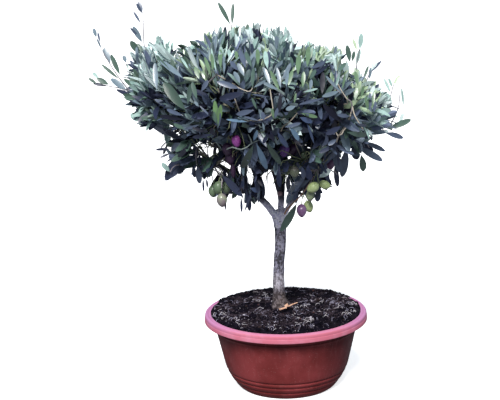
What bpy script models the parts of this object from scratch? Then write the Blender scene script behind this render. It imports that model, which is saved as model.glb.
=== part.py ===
"""A small olive tree in a wide plastic bowl.

The bowl stands on z = 0 with its axis on the Z axis. The soil fills it, the trunk stands on the soil,
four main boughs leave the trunk's fork, side limbs leave the boughs, and each bough or limb carries one
mass of foliage. Every mass keeps to its own share of the crown's space.
"""

import math
import random

import bmesh
import bpy
from mathutils import Matrix, Vector, noise
from mathutils.bvhtree import BVHTree

MM = 0.001
UP = Vector((0, 0, 1))
GAP = 0.3 * MM  # between two solids that meet
GOLDEN_ANGLE = math.pi * (3 - math.sqrt(5))

# --- the bowl
RIM_RADIUS = 160 * MM
RIM_HEIGHT = 148 * MM
RIM_SKIRT = 16 * MM  # height of the folded edge
MOUTH_RADIUS = 146.5 * MM
FOOT_RADIUS = 95 * MM
WALL = 2.6 * MM
FLOOR = 3.2 * MM
BOWL_SIDES = 32
GROOVE_DEPTH = 1.8 * MM
GROOVE_HEIGHTS = (15 * MM, 27 * MM, 37 * MM)
RIDGE_HEIGHTS = (21 * MM, 32 * MM)  # the rounded bands between the grooves
DRAIN_HOLES = 4
DRAIN_RADIUS = 6 * MM
DRAIN_RING = 55 * MM

# --- the soil, heaped a little above the rim
SOIL_LEVEL = 158 * MM
SOIL_EDGE = 149.5 * MM
SOIL_PLATEAU = 118 * MM
SOIL_RELIEF = 3 * MM
SOIL_SEAT = 26 * MM  # flat place that the trunk stands on
SOIL_RINGS = 6

# --- the trunk: height, offset to the side and radius of each station
TRUNK_SIDES = 12
TRUNK_STATIONS = (
    (0 * MM, -10 * MM, 16.5 * MM),
    (7 * MM, -10.5 * MM, 14.0 * MM),
    (20 * MM, -11.5 * MM, 11.8 * MM),
    (50 * MM, -12 * MM, 10.3 * MM),
    (90 * MM, -10 * MM, 10.0 * MM),
    (120 * MM, -7 * MM, 10.4 * MM),
    (146 * MM, -6 * MM, 10.8 * MM),
    (164 * MM, -6.5 * MM, 11.8 * MM),
    (178 * MM, -8 * MM, 13.0 * MM),
    (187 * MM, -8 * MM, 12.0 * MM),
    (192 * MM, -8 * MM, 8.0 * MM),
)

# --- the crown's outline: a flat dome over a bowl-shaped underside
CROWN_AXIS = -40 * MM  # the crown leans out to -X
CROWN_RADIUS = 262 * MM
CROWN_DEPTH = 0.95  # depth over width
CROWN_FOOT = 360 * MM
CROWN_WAIST = 570 * MM
CROWN_TOP = 706 * MM
CROWN_TILT = 0.10  # the top falls towards +X
UNDERSIDE_POWER = 1.6
DOME_POWER = 2.5
SKIN_STEPS = 60

# --- wood, twigs and leaves
LIMB_SIDES = 8
SIDE_LIMB_SIDES = 6
STEM_SIDES = 5
STEM_LENGTH = 62 * MM
STEM_RADIUS = 3.0 * MM
TWIG_SIDES = 3
TWIG_RADIUS = 2.0 * MM
TWIG_TIP_RADIUS = 1.5 * MM
TWIG_TRIES = 12
TWIG_COUNT = 62
TWIG_START = 5.0  # azimuth of the first twig
TWIG_INSET = 50 * MM  # a twig ends this far inside the crown's outline
HEART_TWIGS = 9  # and these end round the crown's middle
HEART_RADIUS = 50 * MM
INNER_TWIG_EVERY = 4  # one twig in four ends deeper inside
INNER_TWIG_INSET = 100 * MM
LEAF_LENGTH = 84 * MM
LEAF_WIDTH = 26 * MM
LEAF_RIDGE = 0.9 * MM  # height of the middle of the upper side over the edges
LEAF_DROOP = 0.03  # how far the tip bends down, as a share of the length
ROOT_DEPTH = 1.1 * MM
LEAF_WIDEST = 0.45  # share of the length from the root
LEAF_ANGLE = math.radians(42)
LEAF_TRIES = 9
LEAF_FACING = 1.3  # how strongly leaves turn their faces out of the crown
LEAF_OVERHANG = 20 * MM  # how far a leaf may stand out of the crown's outline
PAIRS = (0.42, 0.6, 0.77, 0.93)  # where the pairs of leaves sit along a twig
SHOOT_PAIRS = (0.5, 0.7, 0.9)
SHOOT_LEAF = 0.8  # size of a shoot's leaves against the others
PAIR_OFFSET = 3.5 * MM  # the second leaf of a pair sits this much further along
FRUIT_TWIG_PAIRS = (0.35, 0.55)
ROOT_SUNK = 0.1 * MM  # a leaf's root ends this far past its twig's middle
SPACE_MARGIN = 0.8 * MM

FRUIT_LENGTH = 24 * MM
FRUIT_WIDTH = 17.5 * MM
FRUIT_STALK = 17 * MM
STALK_RADIUS = 1.0 * MM

# --- main boughs: tip, way it leaves the trunk, way it arrives, radius at the trunk and at the tip
BOUGHS = {
    "bough_centre": ((-30, 2, 488), (0.12, 0.02, 1), (0.1, 0, 1), 7.6, 3.6),
    "bough_left": ((-152, -2, 462), (-0.62, -0.05, 1), (-1, 0, 0.6), 7.6, 3.6),
    "bough_right": ((84, -16, 462), (0.60, -0.2, 1), (0.8, 0.05, 1), 5.6, 3.4),
    "bough_back": ((18, 96, 474), (0.15, 0.7, 1), (0.3, 1, 0.9), 6.8, 3.4),
}
BOUGH_START = 170 * MM  # height above the soil where the boughs leave the trunk's middle
BOUGH_STEPS = 6
SIDE_LIMB_STEPS = 4
SIDE_LIMB_SHARE = 0.85  # a side limb's radius against its bough's
SIDE_LIMB_TIP = 3.0 * MM

# --- tiers of foliage: height, distance from the crown's axis, then each mass's azimuth and its bough
TIERS = {
    "low": (
        455,
        142,
        {"front_left": (226, "bough_left"), "front_right": (314, "bough_right"),
         "back_right": (46, "bough_back"), "back_left": (134, "bough_back")},
    ),
    "middle": (
        562,
        172,
        {"left": (180, "bough_left"), "front_left": (252, "bough_left"), "front_right": (324, "bough_right"),
         "right": (30, "bough_right"), "back": (102, "bough_back")},
    ),
    "top": (
        640,
        82,
        {"left": (160, "bough_centre"), "right": (340, "bough_centre")},
    ),
    "heart": (545, 26, {"middle": (0, "bough_centre")}),
}
BOUGH_TIP_MASSES = {
    "middle_left": "bough_left",
    "middle_right": "bough_right",
    "middle_back": "bough_back",
    "heart_middle": "bough_centre",
}
LIMB_STARTS = (0.66, 0.84, 0.5, 0.76)  # where successive side limbs leave their bough

# --- shoots that stand out of the crown or hang from it: tip, then the way the tip points
SHOOTS = {
    "tall_left": ((-262, -4, 700), (0.0, 0, 1)),
    "outer_left": ((-318, -6, 662), (-0.45, 0, 1)),
    "low_left": ((-308, -12, 604), (-1, 0, 0.2)),
    "crest": ((-96, -4, 697), (-0.05, 0, 1)),
    "tall_right": ((142, -6, 628), (0.15, 0, 1)),
    "outer_right": ((178, 10, 580), (0.3, 0, 1)),
    "droop_right": ((190, -24, 510), (1, -0.1, 0.05)),
    "hang_left": ((-196, -92, 470), (-0.5, -0.3, -1)),
    "hang_mid_left": ((-106, -128, 446), (-0.3, -0.3, -1)),
    "hang_mid_right": ((44, -100, 430), (0.2, -0.2, -1)),
    "hang_right": ((104, -92, 458), (0.25, -0.2, -1)),
    "tall_back": ((30, 120, 660), (0.1, 0.3, 1)),
    "outer_back": ((-130, 212, 600), (-0.3, 0.8, 0.8)),
    "hang_back": ((-60, 150, 430), (-0.1, 0.4, -1)),
    "hang_back_right": ((92, 104, 436), (0.4, 0.3, -1)),
}

# --- clusters of fruit: the end of the twig they hang from, and how many
FRUIT_CLUSTERS = {
    "left": ((-114, -128, 436), 3),
    "left_high": ((-90, -142, 510), 2),
    "middle": ((8, -118, 484), 2),
    "right": ((62, -118, 438), 3),
    "right_low": ((38, -86, 398), 2),
    "back": ((-46, 148, 436), 2),
    "back_right": ((96, 88, 440), 1),
}


# ------------------------------------------------------------------ small helpers


def vector_mm(values):
    return Vector(values) * MM


def material(name, colour, roughness):
    made = bpy.data.materials.new(name)
    made.use_nodes = True
    shader = made.node_tree.nodes["Principled BSDF"]
    shader.inputs["Base Color"].default_value = (*colour, 1)
    shader.inputs["Roughness"].default_value = roughness
    shader.inputs["Metallic"].default_value = 0
    made.diffuse_color = (*colour, 1)
    return made


def object_from(bm, name, finish, smooth_angle=None):
    """One object from a bmesh. Faces are turned outwards, and shaded smooth below smooth_angle."""
    bmesh.ops.recalc_face_normals(bm, faces=bm.faces)
    mesh = bpy.data.meshes.new(name)
    bm.to_mesh(mesh)
    bm.free()
    mesh.materials.append(finish)
    if smooth_angle is not None:
        mesh.shade_smooth()
        mesh.set_sharp_from_angle(angle=math.radians(smooth_angle))
    made = bpy.data.objects.new(name, mesh)
    bpy.context.scene.collection.objects.link(made)
    return made


def evaluated_mesh(obj):
    bpy.context.view_layer.update()
    graph = bpy.context.evaluated_depsgraph_get()
    return bpy.data.meshes.new_from_object(obj.evaluated_get(graph))


def apply_modifiers(obj):
    mesh = evaluated_mesh(obj)
    obj.modifiers.clear()
    obj.data = mesh
    drop_scraps(mesh)


def drop_scraps(mesh):
    """Keeps the largest connected body of a mesh."""
    bm = bmesh.new()
    bm.from_mesh(mesh)
    left = set(bm.verts)
    bodies = []
    while left:
        body = {left.pop()}
        edge_of_body = list(body)
        while edge_of_body:
            vert = edge_of_body.pop()
            found = {edge.other_vert(vert) for edge in vert.link_edges} - body
            body |= found
            edge_of_body += found
        left -= body
        bodies.append(body)
    main_body = max(bodies, key=len)
    scraps = [vert for body in bodies if body is not main_body for vert in body]
    bmesh.ops.delete(bm, geom=scraps, context="VERTS")
    bm.to_mesh(mesh)
    bm.free()


def smooth_curve(start, leaving, end, arriving, steps):
    """Points from start to end on one cubic curve that leaves and arrives along the given ways."""
    third = (end - start).length / 3
    first = start + leaving.normalized() * third
    second = end - arriving.normalized() * third
    points = []
    for i in range(steps + 1):
        t = i / steps
        points.append(
            start * (1 - t) ** 3 + first * 3 * t * (1 - t) ** 2 + second * 3 * t * t * (1 - t) + end * t**3
        )
    return points


def frames_along(points):
    """A matrix at each point, with Z along the line and as little twist as possible between neighbours."""
    frames = []
    side = None
    for i, point in enumerate(points):
        ahead = (points[min(i + 1, len(points) - 1)] - points[max(i - 1, 0)]).normalized()
        if side is None:
            side = ahead.cross(UP if abs(ahead.z) < 0.9 else Vector((1, 0, 0)))
        side = (side - ahead * side.dot(ahead)).normalized()
        axes = Matrix((side, ahead.cross(side), ahead)).transposed()
        frames.append(Matrix.Translation(point) @ axes.to_4x4())
    return frames


def tube(points, radii, sides):
    """A closed tapering tube: a ring at each point, bridged to the next, and a flat cap at both ends."""
    bm = bmesh.new()
    rings = []
    for frame, radius in zip(frames_along(points), radii):
        made = bmesh.ops.create_circle(bm, segments=sides, radius=radius, matrix=frame)
        rings.append(made["verts"])
    for lower, upper in zip(rings, rings[1:]):
        edges = {edge for vert in lower + upper for edge in vert.link_edges}
        loops = [e for e in edges if all(v in lower for v in e.verts) or all(v in upper for v in e.verts)]
        bmesh.ops.bridge_loops(bm, edges=loops)
    bm.faces.new(reversed(rings[0]))
    bm.faces.new(rings[-1])
    bmesh.ops.recalc_face_normals(bm, faces=bm.faces)
    return bm


def lengthened(points, more):
    """The same line, longer by a little at both ends."""
    ahead = (points[-1] - points[-2]).normalized() * more
    behind = (points[0] - points[1]).normalized() * more
    return [points[0] + behind, *points[1:-1], points[-1] + ahead]


def tapered(first, last, count):
    return [first + (last - first) * i / (count - 1) for i in range(count)]


# ------------------------------------------------------------------ bowl and soil


def body_radius(z):
    """Outer radius of the bowl's wall at height z: a steep side over a rounded bottom."""
    turn = 52 * MM
    radius_at_turn = 123.5 * MM
    if z >= turn:
        return radius_at_turn + (z - turn) * 0.235
    rounding = 1 - (z / turn)
    return radius_at_turn - (radius_at_turn - FOOT_RADIUS) * (0.38 * rounding + 0.62 * rounding**2)


def wall_outline():
    """The outer side of the bowl from its foot to under the rim, with three grooves and one small step."""
    outline = [(body_radius(0) - 1.5 * MM, 0), (body_radius(1.5 * MM), 1.5 * MM)]
    low, middle, high = GROOVE_HEIGHTS
    for z in (low - 3 * MM, *RIDGE_HEIGHTS, high + 3 * MM):
        outline.append((body_radius(z), z))
    for z in (low, middle, high):
        outline.append((body_radius(z) - GROOVE_DEPTH, z))
    for z in (56 * MM, 116 * MM):
        outline.append((body_radius(z), z))
    outline.append((body_radius(117 * MM) + 0.9 * MM, 117 * MM))
    return sorted(outline, key=lambda point: point[1])


def rim_outline():
    """The folded rim, from its hollow underside round the skirt to the mouth."""
    under = RIM_HEIGHT - WALL
    skirt_foot = RIM_HEIGHT - RIM_SKIRT
    neck = body_radius(under) + 0.5 * MM
    return [
        (neck, under - 1 * MM),
        (RIM_RADIUS - WALL, under - 2 * MM),
        (RIM_RADIUS - WALL, skirt_foot),
        (RIM_RADIUS - 0.2 * MM, skirt_foot),
        (RIM_RADIUS - 0.8 * MM, RIM_HEIGHT - 6.5 * MM),
        (RIM_RADIUS - 3.6 * MM, RIM_HEIGHT - 2.2 * MM),
        (RIM_RADIUS - 8 * MM, RIM_HEIGHT),
        (MOUTH_RADIUS, RIM_HEIGHT - 1 * MM),
    ]


def inner_radius(z):
    """Radius of the bowl's inside at height z."""
    if z > RIM_HEIGHT - 8 * MM:
        return MOUTH_RADIUS - (RIM_HEIGHT - 1 * MM - z) * 0.35
    return body_radius(z) - WALL


INSIDE_HEIGHTS = (138 * MM, 52 * MM, 22 * MM, FLOOR)


def turned(outline, sides):
    """A solid of revolution about Z from an outline whose two ends are closed at the axis."""
    bm = bmesh.new()
    verts = [bm.verts.new((radius, 0, z)) for radius, z in outline]
    edges = [bm.edges.new(pair) for pair in zip(verts, verts[1:])]
    bmesh.ops.spin(
        bm, geom=verts + edges, cent=(0, 0, 0), axis=UP, angle=2 * math.pi, steps=sides, use_merge=True
    )
    bmesh.ops.remove_doubles(bm, verts=bm.verts, dist=0.01 * MM)
    return bm


def make_bowl(finish):
    outline = [(0, 0), *wall_outline(), *rim_outline()]
    outline += [(inner_radius(z), z) for z in INSIDE_HEIGHTS]
    outline.append((0, FLOOR))
    bowl = object_from(turned(outline, BOWL_SIDES), "pot", finish, smooth_angle=35)
    for i in range(DRAIN_HOLES):
        bm = bmesh.new()
        angle = 2 * math.pi * (i + 0.5) / DRAIN_HOLES
        place = Matrix.Translation((DRAIN_RING * math.cos(angle), DRAIN_RING * math.sin(angle), FLOOR / 2))
        bmesh.ops.create_cone(
            bm, cap_ends=True, segments=10, radius1=DRAIN_RADIUS, radius2=DRAIN_RADIUS, depth=4 * FLOOR,
            matrix=place,
        )
        cutter = object_from(bm, f"drain_cutter_{i}", finish)
        cutter.hide_render = True
        cutter.display_type = "WIRE"
        cut = bowl.modifiers.new(cutter.name, "BOOLEAN")
        cut.operation = "DIFFERENCE"
        cut.object = cutter
    return bowl


def soil_top(x, y):
    """Height of the heaped soil: a rough plateau that falls to the rim, flat round the trunk."""
    radius = math.hypot(x, y)
    edge = inner_radius(SOIL_EDGE)
    fall = max(0.0, (radius - SOIL_PLATEAU) / (edge - SOIL_PLATEAU))
    height = SOIL_LEVEL - (SOIL_LEVEL - SOIL_EDGE) * min(1.0, fall) ** 1.6
    from_trunk = math.hypot(x - TRUNK_STATIONS[0][1], y)
    calm = min(1.0, max(0.0, (from_trunk - SOIL_SEAT) / (14 * MM))) * (1 - 0.8 * min(1.0, fall))
    rough = noise.noise(Vector((x, y, 0.3)) * 28) + 0.5 * noise.noise(Vector((x, y, 1.7)) * 66)
    return height + SOIL_RELIEF * calm * rough


def make_soil(finish):
    edge = inner_radius(SOIL_EDGE) - GAP
    outline = [(0, FLOOR + GAP)]
    outline += [(inner_radius(z) - GAP, z + (GAP if z == FLOOR else 0)) for z in reversed(INSIDE_HEIGHTS)]
    outline += [(edge * (1 - i / SOIL_RINGS), SOIL_EDGE) for i in range(SOIL_RINGS + 1)]
    bm = turned(outline, BOWL_SIDES)
    for vert in bm.verts:
        radius = math.hypot(vert.co.x, vert.co.y)
        if vert.co.z > SOIL_EDGE - 0.1 * MM and radius < edge - 0.1 * MM:
            vert.co.z = soil_top(vert.co.x, vert.co.y)
    return object_from(bm, "soil", finish, smooth_angle=60)


# ------------------------------------------------------------------ trunk, boughs and limbs


def trunk_shape(grow=0.0):
    base = SOIL_LEVEL + GAP
    points = [Vector((offset, 0, base + height)) for height, offset, radius in TRUNK_STATIONS]
    radii = [radius + grow for height, offset, radius in TRUNK_STATIONS]
    bm = tube(lengthened(points, grow), radii, TRUNK_SIDES)
    for vert in bm.verts:
        if vert.co.z < base + 4 * MM:
            vert.co.z = base
    return bm


def trunk_middle(height):
    """The trunk's middle at a height above the soil."""
    for (low, x0, _), (high, x1, _) in zip(TRUNK_STATIONS, TRUNK_STATIONS[1:]):
        if height <= high:
            share = (height - low) / (high - low)
            return Vector((x0 + (x1 - x0) * share, 0, SOIL_LEVEL + height))
    return Vector((TRUNK_STATIONS[-1][1], 0, SOIL_LEVEL + height))


class Limb:
    """One tapering limb: its points, its radii, and how many sides it has."""

    def __init__(self, name, points, first, last, sides):
        self.name = name
        self.points = points
        self.radii = tapered(first, last, len(points))
        self.sides = sides

    def at(self, share):
        """Point, way and radius at a share of the limb's length."""
        place = share * (len(self.points) - 1)
        i = min(int(place), len(self.points) - 2)
        point = self.points[i].lerp(self.points[i + 1], place - i)
        way = (self.points[i + 1] - self.points[i]).normalized()
        radius = self.radii[i] + (self.radii[i + 1] - self.radii[i]) * (place - i)
        return point, way, radius

    def shape(self, grow=0.0):
        return tube(lengthened(self.points, grow), [radius + grow for radius in self.radii], self.sides)


def main_boughs():
    start = trunk_middle(BOUGH_START)
    made = {}
    for name, (tip, leaving, arriving, first, last) in BOUGHS.items():
        points = smooth_curve(start, Vector(leaving), vector_mm(tip), Vector(arriving), BOUGH_STEPS)
        made[name] = Limb(name, points, first * MM, last * MM, LIMB_SIDES)
    return made


def mass_centres():
    """Name of each mass of foliage, with its middle and its bough."""
    found = {}
    for tier, (height, distance, members) in TIERS.items():
        for place, (azimuth, bough) in members.items():
            angle = math.radians(azimuth)
            x = CROWN_AXIS + distance * MM * math.cos(angle)
            y = distance * MM * math.sin(angle) * CROWN_DEPTH
            z = height * MM - CROWN_TILT * (x - CROWN_AXIS)
            found[f"{tier}_{place}"] = (Vector((x, y, z)), bough)
    return found


def side_limbs(boughs, centres):
    """A side limb to every mass that no bough's own tip carries, and where each mass's stem starts."""
    limbs, feet = {}, {}
    used = dict.fromkeys(boughs, 0)
    for mass, (centre, bough_name) in centres.items():
        bough = boughs[bough_name]
        if mass in BOUGH_TIP_MASSES:
            feet[mass] = (bough.points[-1], bough.at(1)[1])
            continue
        share = LIMB_STARTS[used[bough_name] % len(LIMB_STARTS)]
        used[bough_name] += 1
        start, way, parent_radius = bough.at(share)
        towards = (centre - start).normalized()
        tip = centre - towards * STEM_LENGTH * 0.75
        leaving = towards + way * 0.5
        points = smooth_curve(start, leaving, tip, towards, SIDE_LIMB_STEPS)
        name = f"limb_{mass}"
        first = parent_radius * SIDE_LIMB_SHARE
        limbs[name] = Limb(name, points, first, SIDE_LIMB_TIP, SIDE_LIMB_SIDES)
        feet[mass] = (tip, towards)
    return limbs, feet


def cut_clear(obj, cutters):
    """Trims obj where it enters the limbs it grows from, so that each pair keeps its gap."""
    for cutter in cutters:
        cut = obj.modifiers.new("clear", "BOOLEAN")
        cut.operation = "DIFFERENCE"
        cut.object = cutter
    apply_modifiers(obj)


def make_wood(boughs, limbs, centres, finish):
    """The trunk, boughs and side limbs as solids. It returns the tree of every limb, grown by the margin."""
    object_from(trunk_shape(), "trunk", finish, smooth_angle=50)
    cutters = {"trunk": object_from(trunk_shape(GAP), "trunk_cutter", finish)}
    for name, bough in boughs.items():
        made = object_from(bough.shape(), name, finish, smooth_angle=50)
        cut_clear(made, list(cutters.values()))
        cutters[name] = object_from(bough.shape(GAP), f"{name}_cutter", finish)
    for name, limb in limbs.items():
        parent = centres[name.removeprefix("limb_")][1]
        made = object_from(limb.shape(), name, finish, smooth_angle=50)
        cut_clear(made, [cutters[parent]])
    for cutter in cutters.values():
        bpy.data.objects.remove(cutter)


def wood_tree(boughs, limbs):
    """Everything wooden, grown by the margin that foliage keeps from it, as one tree of faces."""
    shells = [trunk_shape(SPACE_MARGIN)]
    shells += [limb.shape(SPACE_MARGIN) for limb in [*boughs.values(), *limbs.values()]]
    trees = [BVHTree.FromBMesh(bm) for bm in shells]
    for bm in shells:
        bm.free()
    return trees


# ------------------------------------------------------------------ the crown's space


def crown_half(z):
    """Height and roundness of the half of the crown that holds height z: its dome or its underside."""
    if z > CROWN_WAIST:
        return CROWN_TOP - CROWN_WAIST, DOME_POWER
    return CROWN_WAIST - CROWN_FOOT, UNDERSIDE_POWER


def skin_profile():
    """Radius and height along the crown's skin from its foot to its top, before it is tilted."""
    profile = []
    for i in range(SKIN_STEPS + 1):
        turn = (i / SKIN_STEPS - 0.5) * math.pi
        height, power = crown_half(CROWN_WAIST + turn)
        radius = CROWN_RADIUS * abs(math.cos(turn)) ** (2 / power)
        rise = height * abs(math.sin(turn)) ** (2 / power)
        profile.append((radius, CROWN_WAIST + math.copysign(rise, turn)))
    return profile


def skin_places(count):
    """Places on the skin that share it into bands of equal area: radius, height and the way it faces."""
    profile = skin_profile()
    area = [0.0]
    for (r0, z0), (r1, z1) in zip(profile, profile[1:]):
        area.append(area[-1] + (r0 + r1) * math.hypot(r1 - r0, z1 - z0))
    places = []
    step = 0
    for i in range(count):
        wanted = area[-1] * (i + 0.5) / count
        while area[step + 1] < wanted:
            step += 1
        share = (wanted - area[step]) / (area[step + 1] - area[step])
        (r0, z0), (r1, z1) = profile[step], profile[step + 1]
        out = Vector((z1 - z0, 0, r0 - r1)).normalized()
        places.append((r0 + (r1 - r0) * share, z0 + (z1 - z0) * share, out))
    return places


def skin_point(radius, z, out, azimuth, inset):
    """A point inset below the crown's skin, with the way that the skin faces there."""
    spin = Matrix.Rotation(azimuth, 3, "Z")
    point = spin @ (Vector((radius, 0, z)) - out * inset)
    point.y *= CROWN_DEPTH
    point.z -= CROWN_TILT * point.x
    point.x += CROWN_AXIS
    return point, spin @ out


def outside_crown(point):
    """How far a point is outside the crown's outline, away from its middle. It is negative inside."""
    x = point.x - CROWN_AXIS
    z = point.z + CROWN_TILT * x
    height, power = crown_half(z)
    sideways = math.hypot(x, point.y / CROWN_DEPTH)
    rise = abs(z - CROWN_WAIST)
    size = ((sideways / CROWN_RADIUS) ** power + (rise / height) ** power) ** (1 / power)
    return math.hypot(sideways, rise) * (1 - 1 / max(size, 0.01))


def outwards(point):
    """The way out of the crown from its middle through a point."""
    return (point - Vector((CROWN_AXIS, 0, CROWN_WAIST - 60 * MM))).normalized()


def nearest(point, centres):
    return min(centres, key=lambda name: (centres[name][0] - point).length)


def keeps_space(points, own, centres, margin=SPACE_MARGIN):
    """Whether all the points lie nearer to their own mass's middle than to any other's."""
    mine = centres[own][0]
    for name, (other, _) in centres.items():
        if name == own:
            continue
        way = (other - mine).normalized()
        limit = (other - mine).length / 2 - margin
        if any((point - mine).dot(way) > limit for point in points):
            return False
    return True


# ------------------------------------------------------------------ leaves, twigs and fruit


def leaf_shape(root, way, face, length, width):
    """A leaf of eight faces from its root along way: flat below, with a low ridge towards face."""
    bm = bmesh.new()
    bmesh.ops.create_uvsphere(bm, u_segments=4, v_segments=2, radius=1)
    side = way.cross(face).normalized()
    over = side.cross(way).normalized()
    for vert in bm.verts:
        x, y, z = vert.co
        if y < -0.5:
            along, rise = 0, -ROOT_DEPTH / 2
        elif z < -0.5:
            along, rise = 0, ROOT_DEPTH / 2
        elif z > 0.5:
            along, rise = 1, 0
        else:
            along, rise = LEAF_WIDEST, y * LEAF_RIDGE
        rise -= LEAF_DROOP * length * along**2
        vert.co = root + way * along * length + side * x * width / 2 + over * rise
    bmesh.ops.recalc_face_normals(bm, faces=bm.faces)
    return bm


def fruit_shape(top, way):
    """An olive that hangs from top along way."""
    bm = bmesh.new()
    bmesh.ops.create_uvsphere(bm, u_segments=6, v_segments=4, radius=0.5)
    turn = UP.rotation_difference(way).to_matrix()
    for vert in bm.verts:
        x, y, z = vert.co
        vert.co = turn @ Vector((x * FRUIT_WIDTH, y * FRUIT_WIDTH, (z + 0.5) * FRUIT_LENGTH)) + top
    bmesh.ops.recalc_face_normals(bm, faces=bm.faces)
    return bm


class Mass:
    """One mass of foliage as it grows: its closed shapes, and the tree of each for telling what touches."""

    def __init__(self, name, stem, centres, wood):
        self.name = name
        self.stem = stem
        self.centres = centres
        self.wood = wood
        self.shapes = []
        self.leaves = 0
        self.add(tube(stem, tapered(STEM_RADIUS, STEM_RADIUS * 0.75, len(stem)), STEM_SIDES))

    def add(self, bm):
        self.shapes.append((bm, BVHTree.FromBMesh(bm)))
        return len(self.shapes) - 1

    def free_for(self, bm, besides):
        """Whether a shape keeps to the mass's space and touches nothing but the shapes it grows from."""
        if not keeps_space([vert.co for vert in bm.verts], self.name, self.centres):
            return False
        tree = BVHTree.FromBMesh(bm)
        if any(tree.overlap(limb) for limb in self.wood):
            return False
        return not any(tree.overlap(other) for i, (_, other) in enumerate(self.shapes) if i not in besides)

    def add_twig(self, points):
        """Adds a twig on the stem and gives its number, or None where there is no room for it."""
        bm = tube(points, tapered(TWIG_RADIUS, TWIG_TIP_RADIUS, len(points)), TWIG_SIDES)
        if self.free_for(bm, (0,)):
            return self.add(bm)
        bm.free()
        return None

    def add_leaf(self, root, way, face, scale, twig, overhang):
        bm = leaf_shape(root - way * ROOT_SUNK, way, face, LEAF_LENGTH * scale, LEAF_WIDTH * scale)
        inside = overhang is None or all(outside_crown(vert.co) < overhang for vert in bm.verts)
        if inside and self.free_for(bm, (twig,)):
            self.add(bm)
            self.leaves += 1
            return True
        bm.free()
        return False


def place_on(points, share):
    """Point and way at a share of the length of a line of points."""
    place = share * (len(points) - 1)
    i = min(int(place), len(points) - 2)
    return points[i].lerp(points[i + 1], place - i), (points[i + 1] - points[i]).normalized()


def twig_line(start, leaving, tip, arriving, rng):
    """A twig's line, a little crooked."""
    points = smooth_curve(start, leaving, tip, arriving, 2)
    sway = Vector([rng.uniform(-1, 1) for _ in range(3)]) * 3 * MM
    points[1] = points[1] + sway
    return points


def leaf_pairs(mass, twig, points, shares, rng, overhang):
    """Nearly opposite pairs of leaves along a twig, each a quarter turn from the last, and one at the tip."""
    size = 1 if overhang else SHOOT_LEAF
    turn = rng.uniform(0, math.pi)
    for share in shares:
        root, way = place_on(points, share)
        side = way.cross(UP if abs(way.z) < 0.9 else Vector((1, 0, 0))).normalized()
        side = Matrix.Rotation(turn, 3, way) @ side
        turn += math.pi / 2 + rng.uniform(-0.25, 0.25)
        for hand in (1, -1):
            for attempt in range(LEAF_TRIES):
                angle = LEAF_ANGLE * rng.uniform(0.75, 1.25)
                swing = Matrix.Rotation(rng.uniform(-0.35, 0.35) * attempt, 3, way) @ (side * hand)
                leaf_way = (way * math.cos(angle) + swing * math.sin(angle)).normalized()
                face = way * math.sin(angle) - swing * math.cos(angle) + outwards(root) * LEAF_FACING
                scale = size * rng.uniform(0.9, 1.06) * (1 - 0.03 * attempt)
                if mass.add_leaf(root, leaf_way, face, scale, twig, overhang):
                    break
            root = root - way * PAIR_OFFSET
    root, way = place_on(points, 1)
    for attempt in range(LEAF_TRIES):
        tip_way = (way + Vector([rng.uniform(-1, 1) for _ in range(3)]) * 0.08 * attempt).normalized()
        if mass.add_leaf(root - way * 3 * MM, tip_way, outwards(root), 0.85 * size, twig, overhang):
            break


def stem_line(foot, way, centre):
    """A mass's stem: straight on from the tip of its limb, and then to the mass's middle."""
    start = foot + way * GAP
    collar = start + way * 8 * MM
    return [start, collar, collar.lerp(centre, 0.55) + way * 3 * MM, centre]


def grow_twig(mass, tip, arriving, rng):
    """A twig from the stem to a tip: its number and its line. It tries other starts until there is room."""
    for attempt in range(TWIG_TRIES):
        start, stem_way = place_on(mass.stem, rng.uniform(0.35, 0.95))
        leaving = (tip - start).normalized() + stem_way * rng.uniform(0, 0.8)
        if attempt % 3 == 2:
            points = [start, start.lerp(tip, 0.5), tip]
        else:
            points = twig_line(start, leaving, tip, arriving, rng)
        twig = mass.add_twig(points)
        if twig is not None:
            return twig, points
    return None


def hang_fruit(mass, twig, twig_points, count, rng):
    """Olives on short stalks that hang round the end of a twig."""
    for i in range(count):
        for _ in range(LEAF_TRIES):
            root, _ = place_on(twig_points, 0.97 - 0.12 * i)
            azimuth = i * GOLDEN_ANGLE + rng.uniform(-0.6, 0.6)
            sideways = Vector((math.cos(azimuth), math.sin(azimuth), 0)) * rng.uniform(0.45, 0.95)
            top = root + (sideways - UP).normalized() * FRUIT_STALK * rng.uniform(0.8, 1.3)
            way = (sideways * 0.15 - UP).normalized()
            fruit = fruit_shape(top - way * 1.5 * MM, way)
            if mass.free_for(fruit, (twig,)):
                line = [root, root.lerp(top, 0.6) + way * MM, top + way * 2 * MM]
                mass.add(tube(line, [STALK_RADIUS] * 3, TWIG_SIDES))
                mass.add(fruit)
                break
            fruit.free()


def wanted_ways(out, z):
    """The way a twig's tip points: upwards high in the crown, outwards at the waist, drooping low down."""
    rise = (z - CROWN_FOOT) / (CROWN_TOP - CROWN_FOOT)
    lift = -0.9 + 2.4 * min(1.0, rise / 0.75)
    return (out * 0.8 + UP * lift).normalized()


def heart_tips(middle):
    """Ends of twigs spread evenly round the crown's middle, which they point away from."""
    tips = []
    for i in range(HEART_TWIGS):
        rise = 1 - 2 * (i + 0.5) / HEART_TWIGS
        flat = math.sqrt(1 - rise * rise)
        azimuth = i * GOLDEN_ANGLE
        way = Vector((flat * math.cos(azimuth), flat * math.sin(azimuth), rise))
        tips.append((middle + way * HEART_RADIUS, way))
    return tips


def twig_tips():
    """The end of every outer twig and the way it points, spread evenly below the crown's skin."""
    rng = random.Random(11)
    tips = []
    for i, (radius, z, out) in enumerate(skin_places(TWIG_COUNT)):
        inner = i % INNER_TWIG_EVERY == 1
        inset = (INNER_TWIG_INSET if inner else TWIG_INSET) + rng.uniform(-14, 10) * MM
        azimuth = TWIG_START + i * GOLDEN_ANGLE
        point, out = skin_point(radius, z, out, azimuth, min(inset, 0.8 * radius + 20 * MM))
        tips.append((point, wanted_ways(out, z)))
    return tips


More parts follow.
